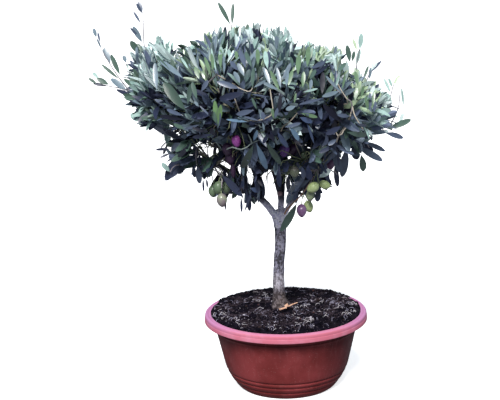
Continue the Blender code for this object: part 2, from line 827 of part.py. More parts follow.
def fuse(name, shapes, finish):
    """One closed body from a stem and everything that is sunk into it."""
    stem = object_from(shapes[0][0], name, finish)
    group = bpy.data.collections.new(f"{name}_pieces")
    bpy.context.scene.collection.children.link(group)
    for i, (bm, _) in enumerate(shapes[1:]):
        piece = object_from(bm, f"{name}_piece_{i}", finish)
        bpy.context.scene.collection.objects.unlink(piece)
        group.objects.link(piece)
    union = stem.modifiers.new("fuse", "BOOLEAN")
    union.operation = "UNION"
    union.operand_type = "COLLECTION"
    union.collection = group
    union.solver = "MANIFOLD"
    apply_modifiers(stem)
    for piece in list(group.objects):
        bpy.data.objects.remove(piece)
    bpy.data.collections.remove(group)
    return stem


def dealt(places, centres):
    """Places dealt to the masses whose middles are nearest. Each entry starts with its point."""
    hands = {name: [] for name in centres}
    for entry in places:
        hands[nearest(entry[0], centres)].append(entry)
    return hands


def make_foliage(centres, feet, wood, finish):
    tips = dealt(twig_tips() + heart_tips(centres["heart_middle"][0]), centres)
    shoots = dealt([(vector_mm(tip), Vector(way).normalized()) for tip, way in SHOOTS.values()], centres)
    clusters = dealt([(vector_mm(end), count) for end, count in FRUIT_CLUSTERS.values()], centres)
    leaves = 0
    for number, (name, (centre, _)) in enumerate(centres.items()):
        rng = random.Random(101 + number)
        mass = Mass(name, stem_line(*feet[name], centre), centres, wood)
        grown = []
        for tip, arriving in shoots[name]:
            grown.append((grow_twig(mass, tip, arriving, rng), SHOOT_PAIRS, None))
        for end, count in clusters[name]:
            bearer = grow_twig(mass, end, -UP, rng)
            if bearer:
                hang_fruit(mass, *bearer, count, rng)
                grown.append((bearer, FRUIT_TWIG_PAIRS, LEAF_OVERHANG))
        for tip, arriving in tips[name]:
            grown.append((grow_twig(mass, tip, arriving, rng), PAIRS, LEAF_OVERHANG))
        for twig, shares, overhang in grown:
            if twig:
                leaf_pairs(mass, *twig, shares, rng, overhang)
        leaves += mass.leaves
        twigs = sum(twig is not None for twig, _, _ in grown)
        print(f"{name}: {twigs} of {len(grown)} twigs, {len(mass.shapes)} shapes, {mass.leaves} leaves")
        fuse(f"foliage_{name}", mass.shapes, finish)
    print(f"{leaves} leaves in all")


# ------------------------------------------------------------------ the whole tree


def main():
    for obj in list(bpy.data.objects):
        bpy.data.objects.remove(obj)
    plastic = material("bowl_plastic", (0.36, 0.10, 0.09), 0.5)
    earth = material("potting_soil", (0.045, 0.035, 0.032), 0.95)
    bark = material("olive_bark", (0.27, 0.25, 0.26), 0.85)
    leaf = material("olive_leaf", (0.16, 0.22, 0.17), 0.55)
    make_bowl(plastic)
    make_soil(earth)
    boughs = main_boughs()
    centres = mass_centres()
    limbs, feet = side_limbs(boughs, centres)
    make_wood(boughs, limbs, centres, bark)
    make_foliage(centres, feet, wood_tree(boughs, limbs), leaf)


main()
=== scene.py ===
# %% [markdown]
# # A small olive tree in a wide plastic bowl
#
# The real thing is a young nursery olive: one bare grey trunk, a fork, a broad crown of narrow leaves with
# a few ripening olives, and a red-brown moulded bowl whose rim has faded to pink.
#
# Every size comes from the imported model, which is loaded first and stays as it is. Each part of it is then
# dressed: the bowl is turned again with a finer outline, the wood gets its bark, and the plain leaves of the
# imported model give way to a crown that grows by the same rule, only with far more and smaller leaves.

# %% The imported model
import math
import random

import bmesh
import bpy
import numpy as np
from mathutils import Matrix, Vector, noise


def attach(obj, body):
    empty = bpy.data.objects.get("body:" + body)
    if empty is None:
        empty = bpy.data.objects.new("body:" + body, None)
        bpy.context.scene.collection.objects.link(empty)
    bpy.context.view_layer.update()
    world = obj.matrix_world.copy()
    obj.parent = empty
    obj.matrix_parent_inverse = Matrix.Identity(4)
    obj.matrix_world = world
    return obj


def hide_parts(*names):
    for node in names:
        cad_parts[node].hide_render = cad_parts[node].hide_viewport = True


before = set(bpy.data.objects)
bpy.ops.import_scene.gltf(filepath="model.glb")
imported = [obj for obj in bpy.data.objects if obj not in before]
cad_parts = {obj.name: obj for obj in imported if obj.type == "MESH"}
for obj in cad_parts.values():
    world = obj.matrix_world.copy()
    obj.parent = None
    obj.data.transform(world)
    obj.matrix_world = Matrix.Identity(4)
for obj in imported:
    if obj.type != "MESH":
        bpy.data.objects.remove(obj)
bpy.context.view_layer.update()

# %% [markdown]
# ## Lengths and directions
# The plans of such a tree are read in millimetres, and Blender works in metres. One factor turns one into
# the other, so every number below can be checked with a ruler. Chance has its numbers here too, so that the
# same tree grows each time.

# %% Lengths and directions
MM = 0.001
UP = Vector((0, 0, 1))
GOLDEN_ANGLE = math.pi * (3 - math.sqrt(5))
SEEDS = {  # every random draw starts from one of these
    "soil": 31, "tips": 11, "twigs": 101, "sprays": 202, "leaves": 303, "olives": 404, "seen_twigs": 505,
    "edge": 606, "tones": 707,
}


def vector_mm(values):
    return Vector(values) * MM


print("golden angle", round(math.degrees(GOLDEN_ANGLE), 1), "degrees;", len(SEEDS), "seeds")


# %% [markdown]
# ## The camera
# The plant is seen from two metres away and a little above, with a long lens and a slightly tilted horizon.
# The lens could be set by eye. It is set from its focal length in pixels instead, because the same number
# then tells where any point of the plant falls in the frame.

# %% The camera
FRAME_SIZE = (500, 400)  # width and height in pixels
FOCAL_PIXELS = 1057.4
EYE = Vector((-0.0632, -2.0, 0.7754))
PITCH = 0.1994  # looking down, in radians
ROLL = 0.031
SENSOR = 36.0

camera_data = bpy.data.cameras.new("camera")
camera_data.sensor_width = SENSOR
camera_data.lens = FOCAL_PIXELS / FRAME_SIZE[0] * SENSOR
camera_data.clip_end = 300
camera = bpy.data.objects.new("camera", camera_data)
camera.matrix_world = (
    Matrix.Translation(EYE) @ Matrix.Rotation(math.pi / 2 - PITCH, 4, "X") @ Matrix.Rotation(-ROLL, 4, "Z")
)
bpy.context.scene.collection.objects.link(camera)
bpy.context.scene.camera = camera
TO_CAMERA = np.array(camera.matrix_world.inverted())


def pixels_of(points):
    """Where points fall in the frame: an array of x and y in pixels from the upper left corner."""
    points = np.asarray(points, dtype=float).reshape(-1, 3)
    local = points @ TO_CAMERA[:3, :3].T + TO_CAMERA[:3, 3]
    x = FRAME_SIZE[0] / 2 + FOCAL_PIXELS * local[:, 0] / -local[:, 2]
    y = FRAME_SIZE[1] / 2 - FOCAL_PIXELS * local[:, 1] / -local[:, 2]
    return np.stack([x, y], axis=1)


print("lens", round(camera_data.lens, 1), "mm; the bowl's middle is at pixel", pixels_of((0, 0, 0.148)).round(1))

# %% [markdown]
# ## Floor and light
# A studio floor is a wide pale sheet, and the light comes from large soft sources overhead. A few area lamps
# could do it, but a broad sun lamp with a large angle gives the same light all over the crown: bright tops
# and a dark underside. The world adds a little light from all sides. The camera sees a white sky and a pale
# floor, and the Light Path node keeps both out of the light, so that the underside stays dark.

# %% Floor and light
bpy.context.scene.view_settings.view_transform = "Standard"
FLOOR_SIZE = 400
FLOOR_COLOUR = (0.90, 0.90, 0.91)
FLOOR_DARK = (0.22, 0.22, 0.24)
FLOOR_GLOW = 0.72  # how much of the floor's look is plain white, which thins the shadow on it
WHITE = (1.0, 1.0, 1.0)
SKY_COLOUR = (0.72, 0.86, 1.0)
SKY_STRENGTH = 0.39
SUN_COLOUR = (1.0, 0.985, 0.96)
SUN_STRENGTH = 4.7
SUN_ANGLE = math.radians(20)
SUN_TURN = (math.radians(43), math.radians(-10), 0)  # leaning from the front and the left


def plug(tree, socket, value):
    """Gives a socket a link, a colour or a number."""
    if isinstance(value, bpy.types.NodeSocket):
        tree.links.new(value, socket)
    elif isinstance(value, tuple) and len(value) == 3 and socket.type == "RGBA":
        socket.default_value = (*value, 1)
    else:
        socket.default_value = value


def plug_all(tree, node, values):
    for label, value in values.items():
        plug(tree, node.inputs[label], value)


def wired(tree, kind, values, output=0, **settings):
    """One of the outputs of a new node that has the given settings and the given values plugged in."""
    node = tree.nodes.new(kind)
    for name, value in settings.items():
        setattr(node, name, value)
    plug_all(tree, node, values)
    return node.outputs[output]


def put_in_scene(name, data):
    made = bpy.data.objects.new(name, data)
    bpy.context.scene.collection.objects.link(made)
    return made


world = bpy.data.worlds.new("studio")
world.use_nodes = True
tree = world.node_tree
sky_light = tree.nodes["Background"]
plug_all(tree, sky_light, {"Color": SKY_COLOUR, "Strength": SKY_STRENGTH})
seen = wired(tree, "ShaderNodeLightPath", {}, "Is Camera Ray")
sky_seen = wired(tree, "ShaderNodeBackground", {"Color": WHITE})
by_ray = wired(tree, "ShaderNodeMixShader", {0: seen, 1: sky_light.outputs[0], 2: sky_seen})
plug_all(tree, tree.nodes["World Output"], {"Surface": by_ray})
bpy.context.scene.world = world

sun_data = bpy.data.lights.new("soft_sun", "SUN")
sun_data.energy, sun_data.angle, sun_data.color = SUN_STRENGTH, SUN_ANGLE, SUN_COLOUR
put_in_scene("soft_sun", sun_data).rotation_euler = SUN_TURN

floor_bm = bmesh.new()
bmesh.ops.create_grid(floor_bm, x_segments=8, y_segments=8, size=FLOOR_SIZE / 2)
floor_mesh = bpy.data.meshes.new("floor")
floor_bm.to_mesh(floor_mesh)
floor_bm.free()
floor = put_in_scene("floor", floor_mesh)
floor_finish = bpy.data.materials.new("pale_floor")
floor_finish.use_nodes = True
tree = floor_finish.node_tree
seen = wired(tree, "ShaderNodeLightPath", {}, "Is Camera Ray")
tone = wired(tree, "ShaderNodeMix", {0: seen, 6: FLOOR_DARK, 7: FLOOR_COLOUR}, 2, data_type="RGBA")
glow = wired(tree, "ShaderNodeMath", {0: seen, 1: FLOOR_GLOW}, operation="MULTIPLY")
plug_all(tree, tree.nodes["Principled BSDF"], {
    "Base Color": tone, "Emission Color": WHITE, "Emission Strength": glow,
    "Roughness": 0.9, "Specular IOR Level": 0.1,
})
floor_mesh.materials.append(floor_finish)
print("sun over an angle of", round(math.degrees(SUN_ANGLE)), "degrees, sky at", SKY_STRENGTH)

# %% [markdown]
# ## Two patterns that the finishes share
# Plastic, bark, soil, leaves and olives all vary in blotches, and most of them carry small specks too.
# Each pattern could be built again in every material. It is made once as a node group with named sockets,
# and each material gives it its own scale. "blotches" gives a soft mask from layered noise, "specks" gives
# small round spots, one in some of the cells of a Voronoi pattern.


# %% Groups for blotches and specks
SPECK_CORE = 0.6  # share of a speck's radius that is fully covered


def new_group(name, floats):
    """An empty node group with a Vector input, the named number inputs and a Mask output."""
    group = bpy.data.node_groups.new(name, "ShaderNodeTree")
    group.interface.new_socket(name="Vector", in_out="INPUT", socket_type="NodeSocketVector")
    for label, value in floats.items():
        socket = group.interface.new_socket(name=label, in_out="INPUT", socket_type="NodeSocketFloat")
        socket.default_value = value
    group.interface.new_socket(name="Mask", in_out="OUTPUT", socket_type="NodeSocketFloat")
    return group, group.nodes.new("NodeGroupInput").outputs, group.nodes.new("NodeGroupOutput").inputs


def ramp(tree, value, low, high):
    """A smooth step from 0 to 1 as a value goes from low to high."""
    values = {"Value": value, "From Min": low, "From Max": high}
    return wired(tree, "ShaderNodeMapRange", values, "Result", interpolation_type="SMOOTHSTEP")


blotches, given, out = new_group("blotches", {"Scale": 20, "Rough": 0.55, "Low": 0.4, "High": 0.6})
cloud = wired(blotches, "ShaderNodeTexNoise", {
    "Vector": given["Vector"], "Scale": given["Scale"], "Detail": 5, "Roughness": given["Rough"],
}, "Fac")
plug(blotches, out["Mask"], ramp(blotches, cloud, given["Low"], given["High"]))

specks, given, out = new_group("specks", {"Scale": 300, "Radius": 0.3, "Share": 0.3})
cell = wired(specks, "ShaderNodeTexVoronoi", {"Vector": given["Vector"], "Scale": given["Scale"]}, "Distance")
core = wired(specks, "ShaderNodeMath", {0: given["Radius"], 1: SPECK_CORE}, operation="MULTIPLY")
spot = ramp(specks, cell, given["Radius"], core)
draw = wired(specks, "ShaderNodeSeparateColor", {0: cell.node.outputs["Color"]})
chosen = wired(specks, "ShaderNodeMath", {0: draw, 1: given["Share"]}, operation="LESS_THAN")
plug(specks, out["Mask"], wired(specks, "ShaderNodeMath", {0: spot, 1: chosen}, operation="MULTIPLY"))
print("groups:", [group.name for group in bpy.data.node_groups])

# %% [markdown]
# ## A short way to build a finish
# A material is a shader with patterns in front of it. Written node by node it runs over many lines, so a
# small class keeps the tree at hand: it adds a group, mixes two colours by a mask or lays one over the other,
# reads the height of the surface and gives the shader its bump. The numbers that are the same all over stay
# on the shader's own sockets.


# %% The Finish class
class Finish:
    """One material as it is built. The patterns read Object coordinates, stretched as asked."""

    def __init__(self, name, roughness, specular):
        self.material = bpy.data.materials.new(name)
        self.material.use_nodes = True
        self.tree = self.material.node_tree
        self.place = wired(self.tree, "ShaderNodeTexCoord", {}, "Object")
        self.set("Roughness", roughness)
        self.set("Specular IOR Level", specular)

    def set(self, label, value):
        plug(self.tree, self.tree.nodes["Principled BSDF"].inputs[label], value)

    def stretched(self, scale, shift=(0.0, 0.0, 0.0)):
        """Object coordinates, stretched and moved so that two patterns don't fall on each other."""
        return wired(self.tree, "ShaderNodeMapping", {"Vector": self.place, "Scale": scale, "Location": shift})

    def group(self, group, vector=None, **values):
        """The mask of one of the two groups."""
        values["Vector"] = vector or self.place
        return wired(self.tree, "ShaderNodeGroup", values, "Mask", node_tree=group)

    def mix(self, mask, first, second):
        """Goes from the first colour to the second as the mask goes from 0 to 1."""
        return wired(self.tree, "ShaderNodeMix", {0: mask, 6: first, 7: second}, 2, data_type="RGBA")

    def over(self, colour, mask, share, other):
        """The colour, with another laid over it where the mask is and as thick as the share says."""
        return self.mix(self.times(mask, share), colour, other)

    def number(self, mask, first, second):
        """Goes from the first number to the second as the mask goes from 0 to 1."""
        return wired(self.tree, "ShaderNodeMapRange", {"Value": mask, "To Min": first, "To Max": second}, "Result")

    def times(self, mask, other, operation="MULTIPLY"):
        """The product of two masks or numbers, or what another operation makes of them."""
        return wired(self.tree, "ShaderNodeMath", {0: mask, 1: other}, operation=operation)

    def height(self, low, high, axis="Z"):
        """A mask that grows from 0 to 1 between two heights on the object, or two places along another axis."""
        return ramp(self.tree, wired(self.tree, "ShaderNodeSeparateXYZ", {0: self.place}, axis), low, high)

    def bump(self, height, distance, strength):
        values = {"Height": height, "Distance": distance, "Strength": strength}
        self.set("Normal", wired(self.tree, "ShaderNodeBump", values))


# %% [markdown]
# ## Putting a piece in place
# A finished piece sits at the origin with its place in its mesh, rides on the one body of the plant, takes
# a material slot of the record, and stands for the nodes that it replaces. Four lines do that every time,
# so they become one function.


# %% Putting a piece in place
def object_of(mesh, name, finishes):
    for finish in finishes:
        mesh.materials.append(finish)
    return put_in_scene(name, mesh)


def dress(mesh, name, finishes, nodes):
    """Rides the piece on the plant's body and hides the nodes that it stands for."""
    piece = object_of(mesh, name, finishes)
    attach(piece, "root")
    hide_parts(*nodes)
    mesh.calc_loop_triangles()
    low, high = (np.array(corner) for corner in zip(*[(min(c), max(c)) for c in zip(*piece.bound_box)]))
    print(f"{name}: {len(mesh.loop_triangles)} triangles, {(high - low).round(3)} m")


def shade(mesh, smooth_angle):
    """Smooth shading, except across edges that are sharper than the angle in degrees."""
    mesh.shade_smooth()
    mesh.set_sharp_from_angle(angle=math.radians(smooth_angle))
    return mesh


def mesh_from(bm, name, smooth_angle):
    """Ends a bmesh as a mesh."""
    mesh = bpy.data.meshes.new(name)
    bm.to_mesh(mesh)
    bm.free()
    return shade(mesh, smooth_angle)


def evaluated(obj, name):
    """The mesh of an object with its modifiers applied. The object itself is removed."""
    bpy.context.view_layer.update()
    graph = bpy.context.evaluated_depsgraph_get()
    mesh = bpy.data.meshes.new_from_object(obj.evaluated_get(graph))
    mesh.name = name
    kinds = np.zeros(len(mesh.polygons), dtype=np.int32)
    mesh.polygons.foreach_get("material_index", kinds)
    mesh.materials.clear()  # this also sets every index to 0
    mesh.polygons.foreach_set("material_index", kinds)
    bpy.data.objects.remove(obj)
    return mesh


# %% [markdown]
# ## The finish of the bowl
# The bowl is injection-moulded polypropylene: dull and red-brown. Painted shade darkens it in blotches
# towards the top of the wall under the rim, along the moulded seam there, and on its sides, most on the right.
# The folded rim stands in the sun all day and has faded to a chalky pink. Two materials would leave a hard
# line between them, so one material turns from the first colour to the second with height, and a blotchy
# mask makes the fading uneven. The rim's ends carry a painted reflection of the sky in lavender. Fine
# streaks run down the wall, and dust sits in specks.

# %% Bowl plastic
WALL_COLOUR = (0.150, 0.024, 0.024)
WALL_SIDE_SHADE = (0.045, 0.013, 0.016)  # painted shade on the bowl's sides, most on the right
WALL_LIGHT = (0.235, 0.042, 0.045)
# painted shade, for the wall under the rim and for the seam
WALL_PAINTED_SHADE = (0.070, 0.014, 0.016)
WALL_STREAK = (0.40, 0.15, 0.15)
RIM_COLOUR = (0.52, 0.145, 0.205)
RIM_PALE = (0.61, 0.265, 0.370)
RIM_LILAC = (0.60, 0.270, 0.480)
RIM_SKY_REFLECTION = (0.47, 0.250, 0.540)  # painted reflection of the sky on the rim's ends
DUST = (0.60, 0.40, 0.40)
FADE_FROM, FADE_TO = 0.1305, 0.1335

plastic = Finish("bowl_plastic_aged_painted_shade", 0.48, 0.07)
wall = plastic.mix(plastic.group(blotches, Scale=16, Low=0.35, High=0.7), WALL_COLOUR, WALL_LIGHT)
# painted shade: the wall darkens in blotches towards its top, under the rim's overhang
rim_shade_blotches = plastic.group(blotches, plastic.stretched((1, 1, 0.35), (3, 1, 0)), Scale=30, Low=0.3, High=0.8)
wall = plastic.over(wall, plastic.times(plastic.height(0.055, 0.128), rim_shade_blotches), 0.75, WALL_PAINTED_SHADE)
# painted shade: the wall darkens towards the right side, and half as much towards the left
left_side_shade = plastic.times(plastic.height(-0.08, -0.15, "X"), 0.5)
wall = plastic.over(wall, plastic.times(plastic.height(0.02, 0.15, "X"), left_side_shade, "ADD"), 0.72, WALL_SIDE_SHADE)
# painted shade: a dark line in the groove of the moulded seam
seam_shade = plastic.times(plastic.height(0.1185, 0.1205), plastic.height(0.1240, 0.1220))
wall = plastic.over(wall, seam_shade, 0.8, WALL_PAINTED_SHADE)
streaks = plastic.group(blotches, plastic.stretched((1, 1, 0.08), (0, 5, 0)), Scale=140, Low=0.52, High=0.75)
wall = plastic.over(wall, streaks, 0.10, WALL_STREAK)
chalk = plastic.group(blotches, Scale=38, Low=0.4, High=0.75)
rim = plastic.over(RIM_COLOUR, chalk, 0.55, RIM_PALE)
rim = plastic.over(rim, plastic.height(0.1455, 0.1485), 0.55, RIM_LILAC)
# painted reflection: the sky's lavender on the upper rim at its ends
ends = plastic.times(plastic.height(0.085, 0.150, "X"), plastic.height(-0.085, -0.150, "X"), "ADD")
rim = plastic.over(rim, plastic.times(ends, plastic.height(0.136, 0.147)), 0.45, RIM_SKY_REFLECTION)
faded = plastic.height(FADE_FROM, FADE_TO)
dusty = plastic.group(specks, Scale=420, Radius=0.32, Share=0.12)
plastic.set("Base Color", plastic.over(plastic.mix(faded, wall, rim), dusty, 0.16, DUST))
plastic.set("Roughness", plastic.number(plastic.times(chalk, faded, "MAXIMUM"), 0.40, 0.62))
plastic.bump(plastic.group(blotches, Scale=260, Low=0.2, High=0.8), 0.12 * MM, 0.6)
print("rim fades in between", FADE_FROM, "and", FADE_TO, "m")

# %% [markdown]
# ## The bowl
# The moulded bowl has a round bottom with three rounded grooves, a steep wall with one small step near the
# top, and a rim folded outwards and down that stiffens it. It could be cut from a lofted shell, but it is a
# turned shape throughout, so its whole outline is drawn once, inside and outside, and spun about the axis.
# The outline has a point every one or two millimetres so that the grooves and the rim's folds are round.

# %% The bowl's outline
RIM_RADIUS = 160 * MM
RIM_HEIGHT = 148 * MM
RIM_SKIRT = 16 * MM
MOUTH_RADIUS = 146.5 * MM
FOOT_RADIUS = 95 * MM
WALL_THICKNESS = 2.6 * MM
FLOOR_THICKNESS = 3.2 * MM
TURN_HEIGHT = 52 * MM  # where the round bottom meets the steep wall
TURN_RADIUS = 123.5 * MM
WALL_SLOPE = 0.235
GROOVE_DEPTH = 2.3 * MM
GROOVE_HEIGHTS = (15 * MM, 27 * MM, 37 * MM)
GROOVE_HALF = 1.9 * MM
SEAM_HEIGHT = 121 * MM  # a thin line moulded round the top of the wall
SEAM_DEPTH = 1.3 * MM
SEAM_HALF = 1.2 * MM
FINE_RANGES = ((0, 44 * MM), (113 * MM, 125 * MM))  # heights where the outline has a point every millimetre
FINE_STEP, COARSE_STEP, INNER_STEP = 1.1 * MM, 5 * MM, 6 * MM
SKIRT_FOLDS = ((0.25, 3), (0.55, 6.2), (1.3, 7.0), (1.2, 7.8))  # in from the rim, up from its foot, in millimetres
TOP_FOLDS = ((6.6, 0.5), (7.2, 1.3), (8.4, 1.4), (9.2, 0.7))  # in from the rim, down from its top
STEP_HEIGHT = 117 * MM
STEP_OUT, STEP_SOFT = 1.5 * MM, 0.5 * MM
BOWL_SEGMENTS = 144


def body_radius(z):
    """Outer radius of the plain wall at height z: a steep side over a rounded bottom."""
    if z >= TURN_HEIGHT:
        return TURN_RADIUS + (z - TURN_HEIGHT) * WALL_SLOPE
    rounding = 1 - z / TURN_HEIGHT
    return TURN_RADIUS - (TURN_RADIUS - FOOT_RADIUS) * (0.38 * rounding + 0.62 * rounding**2)


def inner_radius(z):
    """Radius of the bowl's inside at height z."""
    if z > RIM_HEIGHT - 8 * MM:
        return MOUTH_RADIUS - (RIM_HEIGHT - 1 * MM - z) * 0.35
    return body_radius(z) - WALL_THICKNESS


def wall_radius(z):
    """Outer radius with the grooves and the small step."""
    radius = body_radius(z)
    grooves = [(height, GROOVE_DEPTH, GROOVE_HALF) for height in GROOVE_HEIGHTS]
    for height, depth, half in [*grooves, (SEAM_HEIGHT, SEAM_DEPTH, SEAM_HALF)]:
        radius -= depth * math.exp(-(((z - height) / half) ** 2))
    return radius + STEP_OUT / (1 + math.exp(-(z - STEP_HEIGHT) / STEP_SOFT))


def arc(centre, radius, first, last, steps):
    """Points on an arc in the outline's plane, between two angles in degrees."""
    points = []
    for i in range(steps + 1):
        angle = math.radians(first + (last - first) * i / steps)
        points.append((centre[0] + radius * math.cos(angle), centre[1] + radius * math.sin(angle)))
    return points


def bowl_outline():
    """The outline from the middle of the underside, up the outside, over the rim and down the inside."""
    outline = [(0, 0), (40 * MM, 0), (78 * MM, 0)]
    outline += arc((body_radius(0) - 2.2 * MM, 2 * MM), 2 * MM, -90, -25, 4)
    under = RIM_HEIGHT - WALL_THICKNESS
    z = 3.5 * MM
    while z < under - 3 * MM:
        outline.append((wall_radius(z), z))
        z += FINE_STEP if any(low < z < high for low, high in FINE_RANGES) else COARSE_STEP
    lip = RIM_RADIUS - 1.45 * MM
    foot = RIM_HEIGHT - RIM_SKIRT + 1.4 * MM
    outline += arc((wall_radius(under) + 3 * MM, under - 3 * MM), 2.6 * MM, 180, 90, 4)
    outline += arc((RIM_RADIUS - WALL_THICKNESS - 2.6 * MM, under - 3 * MM), 2.4 * MM, 90, 0, 4)
    outline += arc((lip, foot), 1.35 * MM, 180, 360, 8)
    outline += [(RIM_RADIUS - inwards * MM, foot + up * MM) for inwards, up in SKIRT_FOLDS]
    outline += arc((RIM_RADIUS - 5.6 * MM, RIM_HEIGHT - 4.4 * MM), 4.4 * MM, 2, 84, 8)
    outline += [(RIM_RADIUS - inwards * MM, RIM_HEIGHT - down * MM) for inwards, down in TOP_FOLDS]
    outline += arc((MOUTH_RADIUS + 1.6 * MM, RIM_HEIGHT - 1.9 * MM), 1.6 * MM, 80, 180, 6)
    z = RIM_HEIGHT - 5 * MM
    while z > FLOOR_THICKNESS + 5 * MM:
        outline.append((inner_radius(z), z))
        z -= INNER_STEP
    return outline + [(inner_radius(FLOOR_THICKNESS) - 2 * MM, FLOOR_THICKNESS), (0, FLOOR_THICKNESS)]


print(len(bowl_outline()), "points in the outline")

# %% [markdown]
# ### Turning the bowl and drilling its drain
# Spin repeats the outline round the axis, and use_merge joins the last copy to the first. The points on the
# axis all fall together, so they are merged too, which closes both poles. Four holes in the bottom let
# water out, and a Boolean with four short pins cuts them.

# %% Turning the bowl
DRAIN_HOLES = 4
DRAIN_RADIUS = 6 * MM
DRAIN_RING = 55 * MM
BOWL_SHARP = 32  # degrees above which an edge of the bowl stays sharp


def turned(outline, segments):
    bm = bmesh.new()
    verts = [bm.verts.new((radius, 0, z)) for radius, z in outline]
    edges = [bm.edges.new(pair) for pair in zip(verts, verts[1:])]
    bmesh.ops.spin(
        bm, geom=verts + edges, cent=(0, 0, 0), axis=UP, angle=2 * math.pi, steps=segments, use_merge=True
    )
    bmesh.ops.remove_doubles(bm, verts=bm.verts, dist=0.01 * MM)
    bmesh.ops.recalc_face_normals(bm, faces=bm.faces)
    return bm


def drain_pins():
    bm = bmesh.new()
    for i in range(DRAIN_HOLES):
        angle = 2 * math.pi * (i + 0.5) / DRAIN_HOLES
        middle = Vector((DRAIN_RING * math.cos(angle), DRAIN_RING * math.sin(angle), FLOOR_THICKNESS / 2))
        bmesh.ops.create_cone(
            bm, cap_ends=True, segments=28, radius1=DRAIN_RADIUS, radius2=DRAIN_RADIUS,
            depth=4 * FLOOR_THICKNESS, matrix=Matrix.Translation(middle),
        )
    return bm


pins = object_of(mesh_from(drain_pins(), "drain_pins", 30), "drain_pins", [])
rough_bowl = object_of(mesh_from(turned(bowl_outline(), BOWL_SEGMENTS), "bowl", 30), "rough_bowl", [])
drill = rough_bowl.modifiers.new("drill", "BOOLEAN")
drill.operation = "DIFFERENCE"
drill.object = pins
bowl_mesh = shade(evaluated(rough_bowl, "bowl"), BOWL_SHARP)
bpy.data.objects.remove(pins)
dress(bowl_mesh, "bowl", [plastic.material], ["pot"])

# %% [markdown]
# ## The finish of the soil
# Potting soil is near black peat and bark with pale fibres and crumbs in it. Most of that is modelled, so
# the material only has to break up the dark: brown and black in blotches, a few pale specks, and a bump
# that is rough at the size of a grain.

# %% Soil, fibre and chip finishes
SOIL_BLACK, SOIL_BROWN = (0.0015, 0.0012, 0.003), (0.010, 0.008, 0.016)
SOIL_PATCH = (0.026, 0.017, 0.020)
SOIL_GRAIN = (0.42, 0.36, 0.40)
CRUMB_TONES = {
    "crumb_brown": ((0.015, 0.009, 0.010), (0.034, 0.021, 0.022)),
    "crumb_grey": ((0.040, 0.035, 0.050), (0.10, 0.088, 0.120)),
    "crumb_pale": ((0.40, 0.36, 0.42), (0.60, 0.56, 0.62)),
    "crumb_red": ((0.060, 0.026, 0.025), (0.10, 0.048, 0.045)),
}
FIBRE_TONES = {
    "fibre_dark": ((0.030, 0.021, 0.028), (0.074, 0.055, 0.070)),
    "fibre_grey": ((0.19, 0.18, 0.24), (0.33, 0.31, 0.41)),
    "fibre_pale": ((0.48, 0.44, 0.48), (0.66, 0.62, 0.66)),
}

peat = Finish("soil_dark", 0.97, 0.06)
colour = peat.mix(peat.group(blotches, Scale=120, Rough=0.7, Low=0.38, High=0.66), SOIL_BLACK, SOIL_BROWN)
colour = peat.over(colour, peat.group(blotches, Scale=26, Low=0.45, High=0.7), 0.3, SOIL_PATCH)
colour = peat.over(colour, peat.group(specks, Scale=520, Radius=0.38, Share=0.07), 0.55, SOIL_GRAIN)
peat.set("Base Color", colour)
peat.bump(peat.group(blotches, Scale=420, Rough=0.7, Low=0.2, High=0.8), 0.8 * MM, 0.9)


def dry_finish(name, first, second, scale=240, roughness=0.85):
    """Dry plant matter: two tones in small blotches, and a fine bump."""
    finish = Finish(name, roughness, 0.12)
    mask = finish.group(blotches, finish.stretched((1, 1, 0.4)), Scale=scale, Low=0.35, High=0.65)
    finish.set("Base Color", finish.mix(mask, first, second))
    finish.bump(mask, 0.15 * MM, 0.5)
    return finish.material


crumb_finishes = [peat.material] + [dry_finish(name, *tones) for name, tones in CRUMB_TONES.items()]
fibre_finishes = [dry_finish(name, *tones) for name, tones in FIBRE_TONES.items()]
chip_finish = dry_finish("chip_tan", (0.62, 0.33, 0.21), (0.80, 0.52, 0.38))
print(len(crumb_finishes), "crumb tones and", len(fibre_finishes), "fibre tones")

# %% [markdown]
# ## The soil
# The soil is heaped a little above the rim, loose and lumpy. It could be one displaced disc, which looks
# like tarmac, so it is made in layers as a real heap is: a lumpy surface, then crumbs that sit in it,
# fibres that lie on it, and a few chips of bark. The surface is a turned shape whose top is raised by the
# same function that places everything on it.

# %% The soil's surface
SOIL_LEVEL = 158 * MM
SOIL_EDGE = 149.5 * MM
SOIL_PLATEAU = 118 * MM
SOIL_RELIEF = 4 * MM
SOIL_GRAINS = 2.1 * MM  # height of the small lumps
SOIL_SINK = 4.2 * MM  # how far the middle of the relief lies under the packed soil's level
SOIL_SEAT = 26 * MM
SOIL_GAP = 0.3 * MM
SOIL_SEGMENTS = 150
SOIL_RINGS = 56
SOIL_SHARP = 80
TRUNK_FOOT = -10 * MM
soil_radius = inner_radius(SOIL_EDGE) - SOIL_GAP


def share_of(value, low, high, least=0.0):
    """How far a value has come on its way from low to high, kept between the least share and 1."""
    return min(1.0, max(least, (value - low) / (high - low)))


def noise_at(x, y, z, scale):
    return noise.noise(Vector((x, y, z)) * scale)


def soil_height(x, y):
    """Height of the heaped soil: broad lumps, small lumps, and crumbs of a few millimetres."""
    fall = share_of(math.hypot(x, y), SOIL_PLATEAU, soil_radius)
    from_trunk = math.hypot(x - TRUNK_FOOT, y)
    calm = share_of(from_trunk, SOIL_SEAT, SOIL_SEAT + 14 * MM) * (1 - 0.8 * fall)
    broad = noise_at(x, y, 0.3, 28) + 0.5 * noise_at(x, y, 1.7, 66)
    fine = 0.9 * noise_at(x, y, 5.1, 170) + 0.6 * noise_at(x, y, 8.3, 390)
    height = SOIL_LEVEL - (SOIL_LEVEL - SOIL_EDGE) * fall**1.6 - SOIL_SINK * (1 - fall)
    return height + SOIL_RELIEF * (0.35 + 0.65 * calm) * broad + SOIL_GRAINS * fine * (1 - 0.4 * fall)


